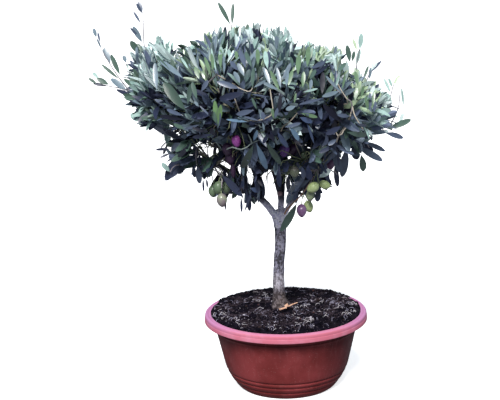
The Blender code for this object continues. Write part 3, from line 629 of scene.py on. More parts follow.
def make_soil():
    outline = [(0, 120 * MM)]
    outline += [(inner_radius(z * MM) - SOIL_GAP, z * MM) for z in (120, 128, 136, 141)]
    outline += [(soil_radius * (1 - i / SOIL_RINGS), SOIL_EDGE) for i in range(SOIL_RINGS + 1)]
    bm = turned(outline, SOIL_SEGMENTS)
    for vert in bm.verts:
        if vert.co.z > SOIL_EDGE - 0.1 * MM:
            vert.co.z = soil_height(vert.co.x, vert.co.y)
    return mesh_from(bm, "soil_bed", SOIL_SHARP)


dress(make_soil(), "soil_bed", [peat.material], ["soil"])

# %% [markdown]
# ### Many small shapes as one mesh
# Hundreds of crumbs, thousands of leaves: an object for each would be slow, and they could not be exported
# together. One small template is made with bmesh, its points and triangles are read into arrays, and every
# copy is written into one joined mesh with its own place, size and material.


# %% Joined copies of a template
def template_of(bm):
    """Points, triangles and the material index of each triangle of a bmesh."""
    bmesh.ops.triangulate(bm, faces=bm.faces)
    bm.verts.index_update()
    points = np.array([vert.co for vert in bm.verts])
    triangles = np.array([[vert.index for vert in face.verts] for face in bm.faces])
    kinds = np.array([face.material_index for face in bm.faces])
    bm.free()
    return points, triangles, kinds


def joined_mesh(name, copies, triangles, kinds, smooth_angle):
    """One mesh from copies of a template's points. kinds has a row of indices per copy."""
    copies, kinds = np.array(copies), np.array(kinds)
    count, size, _ = copies.shape
    mesh = bpy.data.meshes.new(name)
    corners = (triangles[None] + (np.arange(count) * size)[:, None, None]).reshape(-1)
    mesh.vertices.add(count * size)
    mesh.vertices.foreach_set("co", copies.reshape(-1).astype(np.float32))
    mesh.loops.add(len(corners))
    mesh.loops.foreach_set("vertex_index", corners.astype(np.int32))
    mesh.polygons.add(len(corners) // 3)
    mesh.polygons.foreach_set("loop_start", np.arange(0, len(corners), 3, dtype=np.int32))
    mesh.polygons.foreach_set("material_index", kinds.reshape(-1).astype(np.int32))
    mesh.update(calc_edges=True)
    return shade(mesh, smooth_angle)


# %% [markdown]
# ### Crumbs
# A crumb is a lump of a few millimetres with broken faces. An icosphere with one level has twenty faces,
# which is enough at this size once its corners are pushed about at random. Small ones cover the heap, and
# larger ones are rarer. In patches set by noise the crumbs are painted as dark as the peat: painted shade
# that stands for shaded hollows between the lumps.

# %% Crumbs
CRUMBS = 1700
CLODS = 90  # the first of the crumbs are bigger
CLOD_SIZES, CRUMB_SIZES = (3.2, 3.4, 2), (0.8, 2.4, 3)  # the least, how much more, and the power of the draw
CHIP_SHARE = 0.16  # flat crumbs, as of bark
ROUND_CRUMB, FLAT_CRUMB, SPILT_CRUMB = (1, 0.85, 0.7), (1.7, 1.0, 0.32), (1.2, 1.2, 0.8)
SPILT = 620  # crumbs that lie on the rim behind the trunk, where the heap reaches over it
SPILT_FROM, SPILT_TO = 26, 154  # degrees round the bowl
SHADED_PATCH_SCALE = 34  # how many patches of painted shade there are to a metre, and how much of the heap they take
SHADED_PATCH_BELOW = -0.04
CRUMB_SHARP = 20
CRUMB_KINDS = ((0.62, 0), (0.80, 1), (0.92, 2), (0.96, 4), (1, 3))  # a draw below each step has its tone
rng = random.Random(SEEDS["soil"])


def picked(draw, steps):
    return next(kind for below, kind in steps if draw < below)


def soil_place(reach=0.97):
    radius = soil_radius * reach * math.sqrt(rng.random())
    azimuth = rng.uniform(0, 2 * math.pi)
    return radius * math.cos(azimuth), radius * math.sin(azimuth)


def in_shaded_patch(x, y):
    """Whether a place lies in one of the patches of painted shade, where the crumbs are as dark as the peat."""
    return noise_at(x * 0.7, y, 0.4, SHADED_PATCH_SCALE) < SHADED_PATCH_BELOW


def make_crumbs():
    bm = bmesh.new()
    bmesh.ops.create_icosphere(bm, subdivisions=1, radius=1)
    points, triangles, _ = template_of(bm)
    copies, kinds = [], []

    def broken(shape):
        """The icosphere with its corners pushed about, in a shape."""
        return points * [[rng.uniform(0.75, 1.25) for _ in range(3)] for _ in points] * np.array(shape)

    for number in range(CRUMBS):
        x, y = soil_place()
        least, more, power = CLOD_SIZES if number < CLODS else CRUMB_SIZES
        size = least + more * rng.random() ** power
        flat = rng.random() < CHIP_SHARE and number >= CLODS
        turn = Matrix.Rotation(rng.uniform(0, 2 * math.pi), 3, "Z") @ Matrix.Rotation(rng.gauss(0, 0.35), 3, "X")
        lump = broken(FLAT_CRUMB if flat else ROUND_CRUMB) * size * MM
        copies.append(lump @ np.array(turn).T + (x, y, soil_height(x, y) + 0.25 * size * MM))
        tone = rng.random()
        kind = int(tone > 0.9) if number < CLODS else picked(tone, CRUMB_KINDS)
        # painted shade: crumbs in the shaded patches take the peat's near-black
        kinds.append([0 if in_shaded_patch(x, y) and tone < 0.985 else kind] * len(triangles))
    for _ in range(SPILT):
        azimuth = math.radians(SPILT_FROM + (SPILT_TO - SPILT_FROM) * (rng.random() + rng.random() * 0.3) / 1.3)
        radius = soil_radius - 2 * MM + (RIM_RADIUS - 4 * MM - soil_radius) * rng.random()
        size = rng.uniform(1.3, 2.7) * MM
        middle = (radius * math.cos(azimuth), radius * math.sin(azimuth), RIM_HEIGHT + 0.3 * size)
        copies.append(broken(SPILT_CRUMB) * size + middle)
        kinds.append([0] * len(triangles))
    return joined_mesh("soil_crumbs", copies, triangles, kinds, CRUMB_SHARP)


dress(make_crumbs(), "soil_crumbs", crumb_finishes, ["soil"])

# %% [markdown]
# ### Fibres, as thin curves
# Coconut fibre and fine roots lie on the heap in loose arcs, but not in its patches of painted shade. A tube
# round a curve is the natural way to make a thread: each spline gets its points and a radius at each point,
# and one curve object holds them all. Twigs, stalks and the boughs are made in the same way further on, so
# the helper is written for any line.


# %% Lines as tubes
FIBRES = 1900
LITTER_LEVEL = 163 * MM
FIBRE_CLUMPS = (  # middle of a clump in the frame, its spread in millimetres, and how many fibres
    (236, 317, 4, 16), (222, 311, 9, 8), (262, 296, 8, 6), (303, 303, 10, 12), (320, 298, 9, 8), (336, 302, 6, 16),
    (350, 307, 7, 10), (310, 317, 8, 14), (326, 312, 9, 8), (340, 322, 7, 10), (276, 326, 9, 6), (216, 318, 5, 14),
    (213, 311, 3, 12), (219, 323, 4, 12), (352, 301, 4, 12), (347, 311, 4, 12), (334, 324, 6, 8),
)
FIBRE_STEPS = 5
TUBE_SHARP = 75
LOOSE_KINDS = ((0.78, 0), (0.945, 1), (1, 2))
CLUMP_KINDS = ((0.25, 0), (0.68, 1), (1, 2))


def tubes(name, lines, sides_level=0):
    """A mesh of closed tubes. Each line is its points, its radii in millimetres and its material index."""
    data = bpy.data.curves.new(name, "CURVE")
    data.dimensions = "3D"
    data.bevel_depth = MM
    data.bevel_resolution = sides_level
    data.use_fill_caps = True
    data.twist_mode = "MINIMUM"
    for _ in range(1 + max(kind for _, _, kind in lines)):
        data.materials.append(None)
    for points, radii, kind in lines:
        spline = data.splines.new("POLY")
        spline.points.add(len(points) - 1)
        for target, point, radius in zip(spline.points, points, radii):
            target.co = (*point, 1)
            target.radius = radius
        spline.material_index = kind
        spline.use_smooth = True
    mesh = evaluated(put_in_scene(name, data), name)
    mesh.set_sharp_from_angle(angle=math.radians(TUBE_SHARP))
    return mesh


def on_plane(pixel, axis, value):
    """The point that falls on a pixel of the frame and has the given value on an axis."""
    x = (pixel[0] - FRAME_SIZE[0] / 2) / FOCAL_PIXELS
    y = (FRAME_SIZE[1] / 2 - pixel[1]) / FOCAL_PIXELS
    ray = camera.matrix_world.to_3x3() @ Vector((x, y, -1))
    return EYE + ray * ((value - EYE[axis]) / ray[axis])


def on_level(pixel, z):
    return on_plane(pixel, 2, z)


def on_depth(pixel, y):
    return on_plane(pixel, 1, y)


def make_fibres():
    lines = []
    clumps = [(on_level(clump[:2], LITTER_LEVEL), clump[2]) for clump in FIBRE_CLUMPS for _ in range(clump[3])]
    for number in range(FIBRES + len(clumps)):
        x, y = soil_place(0.95)
        in_clump = number >= FIBRES
        if in_clump:
            middle, spread = clumps[number - FIBRES]
            x, y = rng.gauss(middle.x, spread * MM), rng.gauss(middle.y, 1.4 * spread * MM)
        heading = rng.uniform(0, 2 * math.pi)
        bend = rng.gauss(0, 0.5)
        length = rng.uniform(5, 13) + (20 * rng.random() if rng.random() < 0.3 and not in_clump else 0)
        low, high = (1.6, rng.uniform(0.8, 4.2)) if in_clump else (0.7, 1.4)
        points = []
        for i in range(FIBRE_STEPS + 1):
            lift = low + high * math.sin(math.pi * i / FIBRE_STEPS)
            points.append(Vector((x, y, soil_height(x, y) + lift * MM)))
            x += math.cos(heading) * length * MM / FIBRE_STEPS
            y += math.sin(heading) * length * MM / FIBRE_STEPS
            heading += bend
        if math.hypot(x, y) > soil_radius * 0.985 or (in_shaded_patch(x, y) and not in_clump):
            continue
        kind = picked(rng.random(), CLUMP_KINDS if in_clump else LOOSE_KINDS)
        radius = rng.uniform(0.3, 0.52) if in_clump else rng.uniform(0.27, 0.46)
        lines.append((points, [radius * 0.6] + [radius] * (FIBRE_STEPS - 1) + [radius * 0.5], kind))
    return tubes("soil_fibres", lines)


dress(make_fibres(), "soil_fibres", fibre_finishes, ["soil"])

# %% [markdown]
# ### The chip and the stick by the trunk
# Two broken chips of fresh bark and a dry stick lie in front of the trunk, brighter than anything round them.
# They lie where a line from the camera through their place in the frame meets the soil. Each chip is a
# small block whose edges are bevelled and whose ends are drawn out of square.

# %% Chip and stick
CHIP_SIZE, CHIP_SHARP = Vector((13, 9, 3.4)) * MM, 35
CHIP_PIXELS = ((283.0, 308.5), (286.5, 305.5))
STICK_PIXELS = ((288.0, 306.5), (297.5, 302.5))  # its foot and its tip


def make_chips():
    bm = bmesh.new()
    for number, pixel in enumerate(CHIP_PIXELS):
        made = bmesh.ops.create_cube(bm, size=1)
        size = CHIP_SIZE - Vector((0, 3 * number, 0)) * MM
        bmesh.ops.scale(bm, vec=size, verts=made["verts"])
        turn = Matrix.Translation(on_level(pixel, LITTER_LEVEL + 1.5 * MM)) @ Matrix.Rotation(0.5 + number, 4, "Z")
        bmesh.ops.transform(bm, matrix=turn @ Matrix.Rotation(-0.4, 4, "X"), verts=made["verts"])
    bmesh.ops.subdivide_edges(bm, edges=bm.edges, cuts=2, use_grid_fill=True)
    bmesh.ops.bevel(
        bm, geom=[e for e in bm.edges if e.calc_face_angle(0) > 1], offset=0.5 * MM, segments=2,
        affect="EDGES", profile=0.5, material=-1,
    )
    for vert in bm.verts:
        vert.co += noise.noise_vector(vert.co * 260) * 1.1 * MM
    bmesh.ops.recalc_face_normals(bm, faces=bm.faces)
    return mesh_from(bm, "bark_chips", CHIP_SHARP)


dress(make_chips(), "bark_chips", [chip_finish], ["soil"])
foot = on_level(STICK_PIXELS[0], LITTER_LEVEL)
tip = on_level(STICK_PIXELS[1], LITTER_LEVEL + 3 * MM)
stick_line = [foot, foot.lerp(tip, 0.5) + UP * 0.6 * MM, tip]
dress(tubes("dry_stick", [(stick_line, (1.3, 1.1, 0.8), 0)], 1), "dry_stick", [chip_finish], ["soil"])

# %% [markdown]
# ## The plan of the tree
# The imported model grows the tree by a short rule: four boughs leave the trunk's fork, each carries its share
# of twelve masses of foliage, and the crown has the outline of a flat dome over a bowl. The same numbers
# and the same functions are written again here, so the finer crown fills exactly the same space.

# %% The plan of the trunk and the boughs
TRUNK_STATIONS = (  # height above the soil, offset to the side and radius, in millimetres
    (0, -10, 16.5), (7, -10.5, 14.0), (20, -11.5, 11.8), (50, -12, 10.3), (90, -10, 10.0), (120, -7, 10.4),
    (146, -6, 10.8), (164, -6.5, 11.8), (178, -8, 13.0), (187, -8, 12.0), (192, -8, 8.0),
)
BOUGHS = {  # tip, way it leaves the trunk, way it arrives, radius at the trunk and at the tip
    "bough_centre": ((-30, 2, 488), (0.12, 0.02, 1), (0.1, 0, 1), 7.6, 3.6),
    "bough_left": ((-152, -2, 462), (-0.62, -0.05, 1), (-1, 0, 0.6), 7.6, 3.6),
    "bough_right": ((84, -16, 462), (0.60, -0.2, 1), (0.8, 0.05, 1), 5.6, 3.4),
    "bough_back": ((18, 96, 474), (0.15, 0.7, 1), (0.3, 1, 0.9), 6.8, 3.4),
}
BOUGH_START = 170
BOUGH_STEPS = 6
SIDE_LIMB_STEPS = 4
SIDE_LIMB_SHARE = 0.85
SIDE_LIMB_TIP = 3.0
STEM_LENGTH = 62 * MM
GAP = 0.3 * MM


def smooth_curve(start, leaving, end, arriving, steps):
    """Points on one cubic curve that leaves the start and arrives at the end along the given ways."""
    third = (end - start).length / 3
    first = start + leaving.normalized() * third
    second = end - arriving.normalized() * third
    points = []
    for i in range(steps + 1):
        t = i / steps
        points.append(
            start * (1 - t) ** 3 + first * 3 * t * (1 - t) ** 2 + second * 3 * t * t * (1 - t) + end * t**3
        )
    return points


def place_on(points, share):
    """Point and way at a share of the length of a line of points."""
    place = share * (len(points) - 1)
    i = min(int(place), len(points) - 2)
    return points[i].lerp(points[i + 1], place - i), (points[i + 1] - points[i]).normalized()


def length_of(line):
    return sum((b - a).length for a, b in zip(line, line[1:]))


def tapered(line, first, last):
    """A radius for each point of a line, going evenly from the first to the last."""
    return [first + (last - first) * i / (len(line) - 1) for i in range(len(line))]


trunk_heights, trunk_offsets, trunk_radii = zip(*TRUNK_STATIONS)
trunk_line = [Vector((x * MM, 0, SOIL_LEVEL + z * MM)) for x, z in zip(trunk_offsets, trunk_heights)]
fork_offset = np.interp(BOUGH_START, trunk_heights, trunk_offsets)
fork = Vector((fork_offset * MM, 0, SOIL_LEVEL + BOUGH_START * MM))
boughs = {}
for name, (tip, leaving, arriving, first, last) in BOUGHS.items():
    line = smooth_curve(fork, Vector(leaving), vector_mm(tip), Vector(arriving), BOUGH_STEPS)
    boughs[name] = (line, first, last)
print({name: round(length_of(line), 3) for name, (line, *_) in boughs.items()})

# %% [markdown]
# ### Masses and side limbs
# Each mass of foliage has a middle, placed by its tier's height and distance from the crown's axis. Four
# masses sit on the tips of the boughs, and the others have a side limb of their own.

# %% Masses and side limbs
CROWN_AXIS = -40 * MM
CROWN_RADIUS = 262 * MM
CROWN_DEPTH = 0.95
CROWN_FOOT = 360 * MM
CROWN_WAIST = 570 * MM
CROWN_TOP = 706 * MM
CROWN_TILT = 0.10
TIERS = {  # height, distance from the axis, then each mass's azimuth and its bough
    "low": (455, 142, {"front_left": (226, "bough_left"), "front_right": (314, "bough_right"),
                       "back_right": (46, "bough_back"), "back_left": (134, "bough_back")}),
    "middle": (562, 172, {"left": (180, "bough_left"), "front_left": (252, "bough_left"),
                          "front_right": (324, "bough_right"), "right": (30, "bough_right"),
                          "back": (102, "bough_back")}),
    "top": (640, 82, {"left": (160, "bough_centre"), "right": (340, "bough_centre")}),
    "heart": (545, 26, {"middle": (0, "bough_centre")}),
}
BOUGH_TIP_MASSES = ("middle_left", "middle_right", "middle_back", "heart_middle")
LIMB_STARTS = (0.66, 0.84, 0.5, 0.76)

centres, feet, side_limbs = {}, {}, {}
limbs_on = dict.fromkeys(BOUGHS, 0)
for tier, (height, distance, members) in TIERS.items():
    for place, (azimuth, bough) in members.items():
        angle = math.radians(azimuth)
        x = CROWN_AXIS + distance * MM * math.cos(angle)
        y = distance * MM * math.sin(angle) * CROWN_DEPTH
        centre = Vector((x, y, height * MM - CROWN_TILT * (x - CROWN_AXIS)))
        mass = f"{tier}_{place}"
        centres[mass] = centre
        line, first, last = boughs[bough]
        if mass in BOUGH_TIP_MASSES:
            feet[mass] = (line[-1], (line[-1] - line[-2]).normalized())
            continue
        share = LIMB_STARTS[limbs_on[bough] % len(LIMB_STARTS)]
        limbs_on[bough] += 1
        start, way = place_on(line, share)
        towards = (centre - start).normalized()
        tip = centre - towards * STEM_LENGTH * 0.75
        radius = first + (last - first) * share
        points = smooth_curve(start, towards + way * 0.5, tip, towards, SIDE_LIMB_STEPS)
        side_limbs[f"limb_{mass}"] = (points, radius * SIDE_LIMB_SHARE, SIDE_LIMB_TIP)
        feet[mass] = (tip, towards)


def foliage(starts):
    """The nodes of the masses whose names start in one of the given ways."""
    return [f"foliage_{name}" for name in centres if name.startswith(starts)]


print(len(centres), "masses,", len(side_limbs), "side limbs")

# %% [markdown]
# ## Bark
# Young olive bark is smooth, cool grey and blotched, with fine upright cracks and rough lenticels, paler
# where it is rubbed and brown from splashed soil at its foot. The colours come from blotches at two sizes,
# one stretched upwards, and the pale rubbed band above the foot is set by height. Height also sets painted
# light and shade: the crotch of the fork is painted near white, and the wood above it is painted darker as
# the crown's shade.

# %% Bark finish
RIDGE, RIDGE_LIGHT, RIDGE_DARK = (0.130, 0.125, 0.185), (0.255, 0.250, 0.395), (0.12, 0.115, 0.145)
CRACK, CRACK_LIGHT = (0.025, 0.023, 0.028), (0.052, 0.050, 0.074)
# the second is painted shade, for the wood under the crown
DASH, CROWN_SHADE_ON_WOOD = (0.050, 0.045, 0.060), (0.060, 0.060, 0.085)

bark = Finish("olive_bark_grey", 0.82, 0.25)
fine = bark.group(blotches, bark.stretched((1, 1, 0.7)), Scale=230, Rough=0.6, Low=0.46, High=0.54)
broad = bark.group(blotches, bark.stretched((1, 1, 0.3)), Scale=55, Low=0.42, High=0.62)
dark = bark.group(blotches, bark.stretched((1, 1, 0.4), (2, 7, 1)), Scale=85, Low=0.5, High=0.66)
# painted light: the crotch of the fork turns near white
crotch_painted_light = bark.times(bark.times(bark.height(0.306, 0.336), broad, "ADD"), bark.height(0.314, 0.321))
crotch_painted_light = bark.times(bark.times(crotch_painted_light, bark.height(0.380, 0.360)), 1.0, "MINIMUM")
rubbed = bark.times(bark.height(0.185, 0.198), bark.times(bark.height(0.232, 0.218), broad, "ADD"))
splash = bark.times(bark.height(0.206, 0.180), bark.group(blotches, Scale=70, Low=0.2, High=0.45))
ridges = bark.over(bark.mix(broad, RIDGE, RIDGE_LIGHT), dark, 0.6, RIDGE_DARK)
cracks = bark.mix(broad, CRACK, CRACK_LIGHT)
for mask, on_ridges, ridge_tone, on_cracks, crack_tone in (
    (rubbed, 0.5, (0.48, 0.45, 0.51), 0.6, (0.17, 0.155, 0.18)),
    # painted light in the crotch
    (crotch_painted_light, 0.92, (0.92, 0.90, 1.0), 0.92, (0.66, 0.63, 0.84)),
    (splash, 0.9, (0.140, 0.110, 0.105), 0.9, (0.046, 0.034, 0.033)),
):
    ridges = bark.over(ridges, mask, on_ridges, ridge_tone)
    cracks = bark.over(cracks, mask, on_cracks, crack_tone)
dashes = bark.group(blotches, bark.stretched((1, 1, 3.2), (4, 2, 9)), Scale=95, Low=0.60, High=0.66)
colour = bark.over(bark.mix(fine, cracks, ridges), dashes, 0.8, DASH)
# painted shade: the wood above the fork darkens under the crown
bark.set("Base Color", bark.over(colour, bark.height(0.357, 0.374), 0.78, CROWN_SHADE_ON_WOOD))
bark.set("Roughness", bark.number(fine, 0.92, 0.7))
furrows = bark.group(blotches, bark.stretched((1, 1, 0.22)), Scale=420, Rough=0.7, Low=0.3, High=0.7)
bark.bump(bark.times(furrows, bark.times(fine, 0.5), "ADD"), 0.7 * MM, 0.8)
print("bark finish has", len(bark.tree.nodes), "nodes")

# %% [markdown]
# ## Trunk, boughs and limbs in one skin
# The wood is one living skin: it swells round the fork, flares into roots at the foot, and carries the round
# scar of a pruned shoot. Tubes that only cross would show hard lines where they meet. So every limb is first
# a tube, the tubes are melted together by a voxel remesh, the joins are smoothed, and the skin is pushed in
# and out along its normals by noise that is stretched along the trunk.

# %% The skin of the wood
VOXEL = 1.15 * MM
SMOOTHINGS = 3
ROOTS = 7
ROOT_REACH = 22 * MM
ROOT_RADII = (5.5, 3.2)
FOOT_SUNK = 5 * MM  # how far the trunk stands in the soil
BARK_THICK = 0.9  # millimetres on the trunk's radius
CENTRE_SHIFT = 7 * MM  # the middle bough swings to the right before it rises
CENTRE_SLIM = 0.84


def finer(points, times):
    """The same line with more points, on a smooth curve through them."""
    made = []
    for i in range(len(points) - 1):
        a, b = points[max(i - 1, 0)], points[i]
        c, d = points[i + 1], points[min(i + 2, len(points) - 1)]
        for j in range(times):
            t = j / times
            made.append(
                0.5 * ((2 * b) + (c - a) * t + (2 * a - 5 * b + 4 * c - d) * t * t + (3 * b - a - 3 * c + d) * t**3)
            )
    return made + [points[-1]]


def root_line(i):
    """One of the roots, from the trunk down into the soil."""
    azimuth = i * 2 * math.pi / ROOTS + 0.35 * math.sin(5 * i)
    out = Vector((math.cos(azimuth), math.sin(azimuth), 0))
    reach = ROOT_REACH * (0.8 + 0.2 * math.cos(3 * i))
    top = trunk_line[0] + out * 5 * MM + UP * 24 * MM
    return smooth_curve(top, -UP, trunk_line[0] + out * reach - UP * 3 * MM, out - UP * 0.8, 5)


def wood_lines():
    middle = [trunk_line[0] - UP * FOOT_SUNK, *trunk_line]
    radii = [Vector((radius + BARK_THICK, 0, 0)) for radius in (trunk_radii[0], *trunk_radii)]
    tapering = [(finer(centre_line, 4), boughs["bough_centre"][1] * CENTRE_SLIM, boughs["bough_centre"][2])]
    for name, (line, first, last) in [*boughs.items(), *side_limbs.items()]:
        if name != "bough_centre":
            tapering.append((finer(line, 4), first, last))
    tapering += [(root_line(i), *ROOT_RADII) for i in range(ROOTS)]
    trunk = (finer(middle, 4), [radius.x for radius in finer(radii, 4)], 0)
    return [trunk] + [(line, tapered(line, first, last), 0) for line, first, last in tapering]


centre_line = [
    point + Vector((CENTRE_SHIFT * math.sin(math.pi * i / BOUGH_STEPS), 0, 0))
    for i, point in enumerate(boughs["bough_centre"][0])
]
wood = object_of(tubes("wood_tubes", wood_lines(), 4), "wood_tubes", [])
melt = wood.modifiers.new("melt", "REMESH")
melt.mode = "VOXEL"
melt.voxel_size = VOXEL
melt.use_smooth_shade = True
wood_bm = bmesh.new()
wood_bm.from_mesh(evaluated(wood, "wood"))
for _ in range(SMOOTHINGS):
    bmesh.ops.smooth_vert(
        wood_bm, verts=wood_bm.verts, factor=0.6, use_axis_x=True, use_axis_y=True, use_axis_z=True
    )
print("melted skin:", len(wood_bm.faces), "faces")


# %% [markdown]
# ### Relief on the bark
# The lumps follow the trunk upwards, so the noise is read with the height pressed together. It fades on thin
# limbs, where a millimetre would be too much.

# %% Relief on the bark
TWIST = 2.25  # the grain winds slowly round the trunk, in radians to a metre
BARK_LUMPS = 1.1 * MM
BARK_FINE = 0.42 * MM
COLLAR_HEIGHT = 0.3185  # a ring round the trunk below the fork
COLLAR, COLLAR_HALF = 0.9 * MM, 2.2 * MM
THIN_FROM, THIN_OVER = 0.345, 0.12  # above this height the limbs grow thin
WOOD_SHARP = 60
SCAR_SHARE = 0.34  # where on the middle bough a shoot was pruned away
SCAR_OUT = ((0, 0, 0), (0.1, -7.6, 0.8), (0.1, -8.8, 0.9))  # points of the scar's stub, in millimetres
SCAR_RADII = (5.4, 5.2, 3.6)


def bark_relief(point):
    """How far the skin stands out at a point."""
    x, y, z = point
    turn = TWIST * (z - SOIL_LEVEL)
    u = Vector((x * math.cos(turn) - y * math.sin(turn), x * math.sin(turn) + y * math.cos(turn), z * 0.32))
    lumps = noise.noise(u * 95) + 0.5 * noise.noise(u * 210 + Vector((3, 1, 4)))
    cracks = 1 - abs(noise_at(u.x, u.y, z * 0.14, 430)) * 2.2
    rings = noise_at(0.7, 0.1, z * 75, 1) * 0.5
    collar = COLLAR * math.exp(-(((z - COLLAR_HEIGHT) / COLLAR_HALF) ** 2))
    return BARK_LUMPS * (lumps * 0.8 + rings * 0.5) + BARK_FINE * (cracks - 0.5) + collar


wood_bm.normal_update()
for vert in wood_bm.verts:
    thin = min(1.0, max(0.3, 1.25 - (vert.co.z - THIN_FROM) / THIN_OVER))
    vert.co += vert.normal * bark_relief(vert.co) * thin
WOOD_NODES = ["trunk", *BOUGHS, *side_limbs]
dress(mesh_from(wood_bm, "wood", WOOD_SHARP), "trunk_and_boughs", [bark.material], WOOD_NODES)
scar_finish = dry_finish("scar_brown", (0.20, 0.115, 0.135), (0.52, 0.36, 0.38), scale=420)
scar, _ = place_on(centre_line, SCAR_SHARE)
scar_line = [scar + vector_mm(out) for out in SCAR_OUT]
scar_mesh = tubes("pruned_scar", [(scar_line, SCAR_RADII, 0)], 3)
dress(scar_mesh, "pruned_scar", [scar_finish], WOOD_NODES)

# %% [markdown]
# ## The crown's outline
# Seen from the side the crown is a flat dome over a deep bowl-shaped underside, and it leans a little. A
# superellipse gives such an outline with two exponents. The functions say where the skin is, which way it
# faces, and how far a point is outside it.

# %% The crown's outline
UNDERSIDE_POWER = 1.6
DOME_POWER = 2.5
SKIN_STEPS = 60


def crown_half(z):
    """Height and roundness of the half of the crown that holds height z: its dome or its underside."""
    if z > CROWN_WAIST:
        return CROWN_TOP - CROWN_WAIST, DOME_POWER
    return CROWN_WAIST - CROWN_FOOT, UNDERSIDE_POWER


def skin_places(count):
    """Places on the skin that share it into bands of equal area: radius, height and the way it faces."""
    profile = []
    for i in range(SKIN_STEPS + 1):
        turn = (i / SKIN_STEPS - 0.5) * math.pi
        height, power = crown_half(CROWN_WAIST + turn)
        radius = CROWN_RADIUS * abs(math.cos(turn)) ** (2 / power)
        profile.append((radius, CROWN_WAIST + math.copysign(height * abs(math.sin(turn)) ** (2 / power), turn)))
    area = [0.0]
    for (r0, z0), (r1, z1) in zip(profile, profile[1:]):
        area.append(area[-1] + (r0 + r1) * math.hypot(r1 - r0, z1 - z0))
    places, step = [], 0
    for i in range(count):
        wanted = area[-1] * (i + 0.5) / count
        while area[step + 1] < wanted:
            step += 1
        share = (wanted - area[step]) / (area[step + 1] - area[step])
        (r0, z0), (r1, z1) = profile[step], profile[step + 1]
        out = Vector((z1 - z0, 0, r0 - r1)).normalized()
        places.append((r0 + (r1 - r0) * share, z0 + (z1 - z0) * share, out))
    return places


def skin_point(radius, z, out, azimuth, inset):
    """A point inset below the crown's skin, with the way that the skin faces there."""
    spin = Matrix.Rotation(azimuth, 3, "Z")
    point = spin @ (Vector((radius, 0, z)) - out * inset)
    point.y *= CROWN_DEPTH
    point.z -= CROWN_TILT * point.x
    point.x += CROWN_AXIS
    return point, spin @ out


def outside_crown(point):
    """How far a point is outside the crown's outline. It is negative inside."""
    x = point.x - CROWN_AXIS
    z = point.z + CROWN_TILT * x
    height, power = crown_half(z)
    sideways = math.hypot(x, point.y / CROWN_DEPTH)
    rise = abs(z - CROWN_WAIST)
    size = ((sideways / CROWN_RADIUS) ** power + (rise / height) ** power) ** (1 / power)
    return math.hypot(sideways, rise) * (1 - 1 / max(size, 0.01))


def outwards(point):
    """The way out of the crown from its middle through a point."""
    return (point - Vector((CROWN_AXIS, 0, CROWN_WAIST - 60 * MM))).normalized()


def rise_of(z):
    """How high a height is in the crown: 0 at its foot, 1 at its top."""
    return (z - CROWN_FOOT) / (CROWN_TOP - CROWN_FOOT)


def wanted_way(out, z):
    """The way a twig's tip points: upwards high in the crown, outwards at the waist, drooping low down."""
    lift = -0.9 + 2.4 * min(1.0, rise_of(z) / 0.75)
    return (out * 0.8 + UP * lift).normalized()


def own_mass(point):
    return min(centres, key=lambda name: (centres[name] - point).length)


print("crown from", CROWN_FOOT, "to", CROWN_TOP, "m")

# %% [markdown]
# ### The outline from the front
# A real crown isn't quite the dome of its plan. Seen from the front it has a hump left of its middle, a
# flatter shoulder on each side and a ragged foot. A short list of heights across the frame says so, and
# sprays that would end outside it are drawn back towards their mass.

# %% The outline from the front
FRONT_OUTLINE = (  # x in the frame, then the crown's top and foot there, in pixels
    (108, 80, 90), (120, 66, 96), (132, 48, 119), (146, 40, 128), (157, 38, 132), (163, 38, 156), (172, 44, 172),
    (186, 46, 176), (194, 42, 180), (205, 35, 190), (216, 27, 203), (240, 27, 200), (256, 22, 204), (272, 26, 213),
    (290, 27, 213), (293, 47, 211), (312, 43, 203), (322, 48, 192), (334, 46, 186), (345, 54, 170), (352, 62, 162),
    (362, 76, 152), (374, 84, 140), (386, 91, 133), (397, 105, 132), (410, 122, 131),
)
DRAW_STEPS = 8
DRAW_SHARE = 0.12


def inside_front(points):
    """How many pixels inside the outline each point falls, seen from the front. It is negative outside."""
    x, y = pixels_of(points).T
    xs, tops, feet_at = zip(*FRONT_OUTLINE)
    margin = np.minimum(y - np.interp(x, xs, tops), np.interp(x, xs, feet_at) - y)
    return np.minimum(margin, np.minimum(x - xs[0], xs[-1] - x))


def drawn_in(target, towards, margin):
    """The target, moved towards a point in short steps until it is well inside the outline."""
    for _ in range(DRAW_STEPS):
        if inside_front(target)[0] > margin:
            break
        target = target.lerp(towards, DRAW_SHARE)
    return target


print("the front outline spans", FRONT_OUTLINE[0][0], "to", FRONT_OUTLINE[-1][0], "pixels")

# %% [markdown]
# ## Twigs of the first order
# From the middle of each mass, stout twigs run out to places spread evenly below the crown's skin, on a
# spiral that turns by the golden angle. A few shoots stand out of the outline at the back, and a few twigs
# end low down to bear fruit. The shoots at the edge seen from the front are set one by one further on.

# %% Twigs of the first order
TWIG_COUNT = 62
TWIG_START = 5.0
TWIG_INSET = 50 * MM
TWIG_STEPS = 8
STEM_RADII, TWIG_RADII = (3.0, 2.25), (2.0, 1.0)
HEART_TWIGS = 9
HEART_RADIUS = 50 * MM
INNER_TWIG_EVERY = 4
INNER_TWIG_INSET = 100 * MM
SHOOT_MORE = 26 * MM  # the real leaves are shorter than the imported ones, so the shoots run on
SHOOTS = (  # tip and way of the shoots at the back, and of the low twigs that bear fruit
    ((-196, -92, 470), (-0.5, -0.3, -1)), ((-106, -128, 446), (-0.3, -0.3, -1)),
    ((44, -100, 430), (0.2, -0.2, -1)), ((92, -92, 458), (0.2, -0.2, -1)), ((152, -60, 500), (0.35, -0.2, -1)),
    ((30, 120, 628), (0.1, 0.3, 1)), ((-130, 212, 600), (-0.3, 0.8, 0.8)), ((-60, 150, 430), (-0.1, 0.4, -1)),
    ((92, 104, 436), (0.4, 0.3, -1)),
)


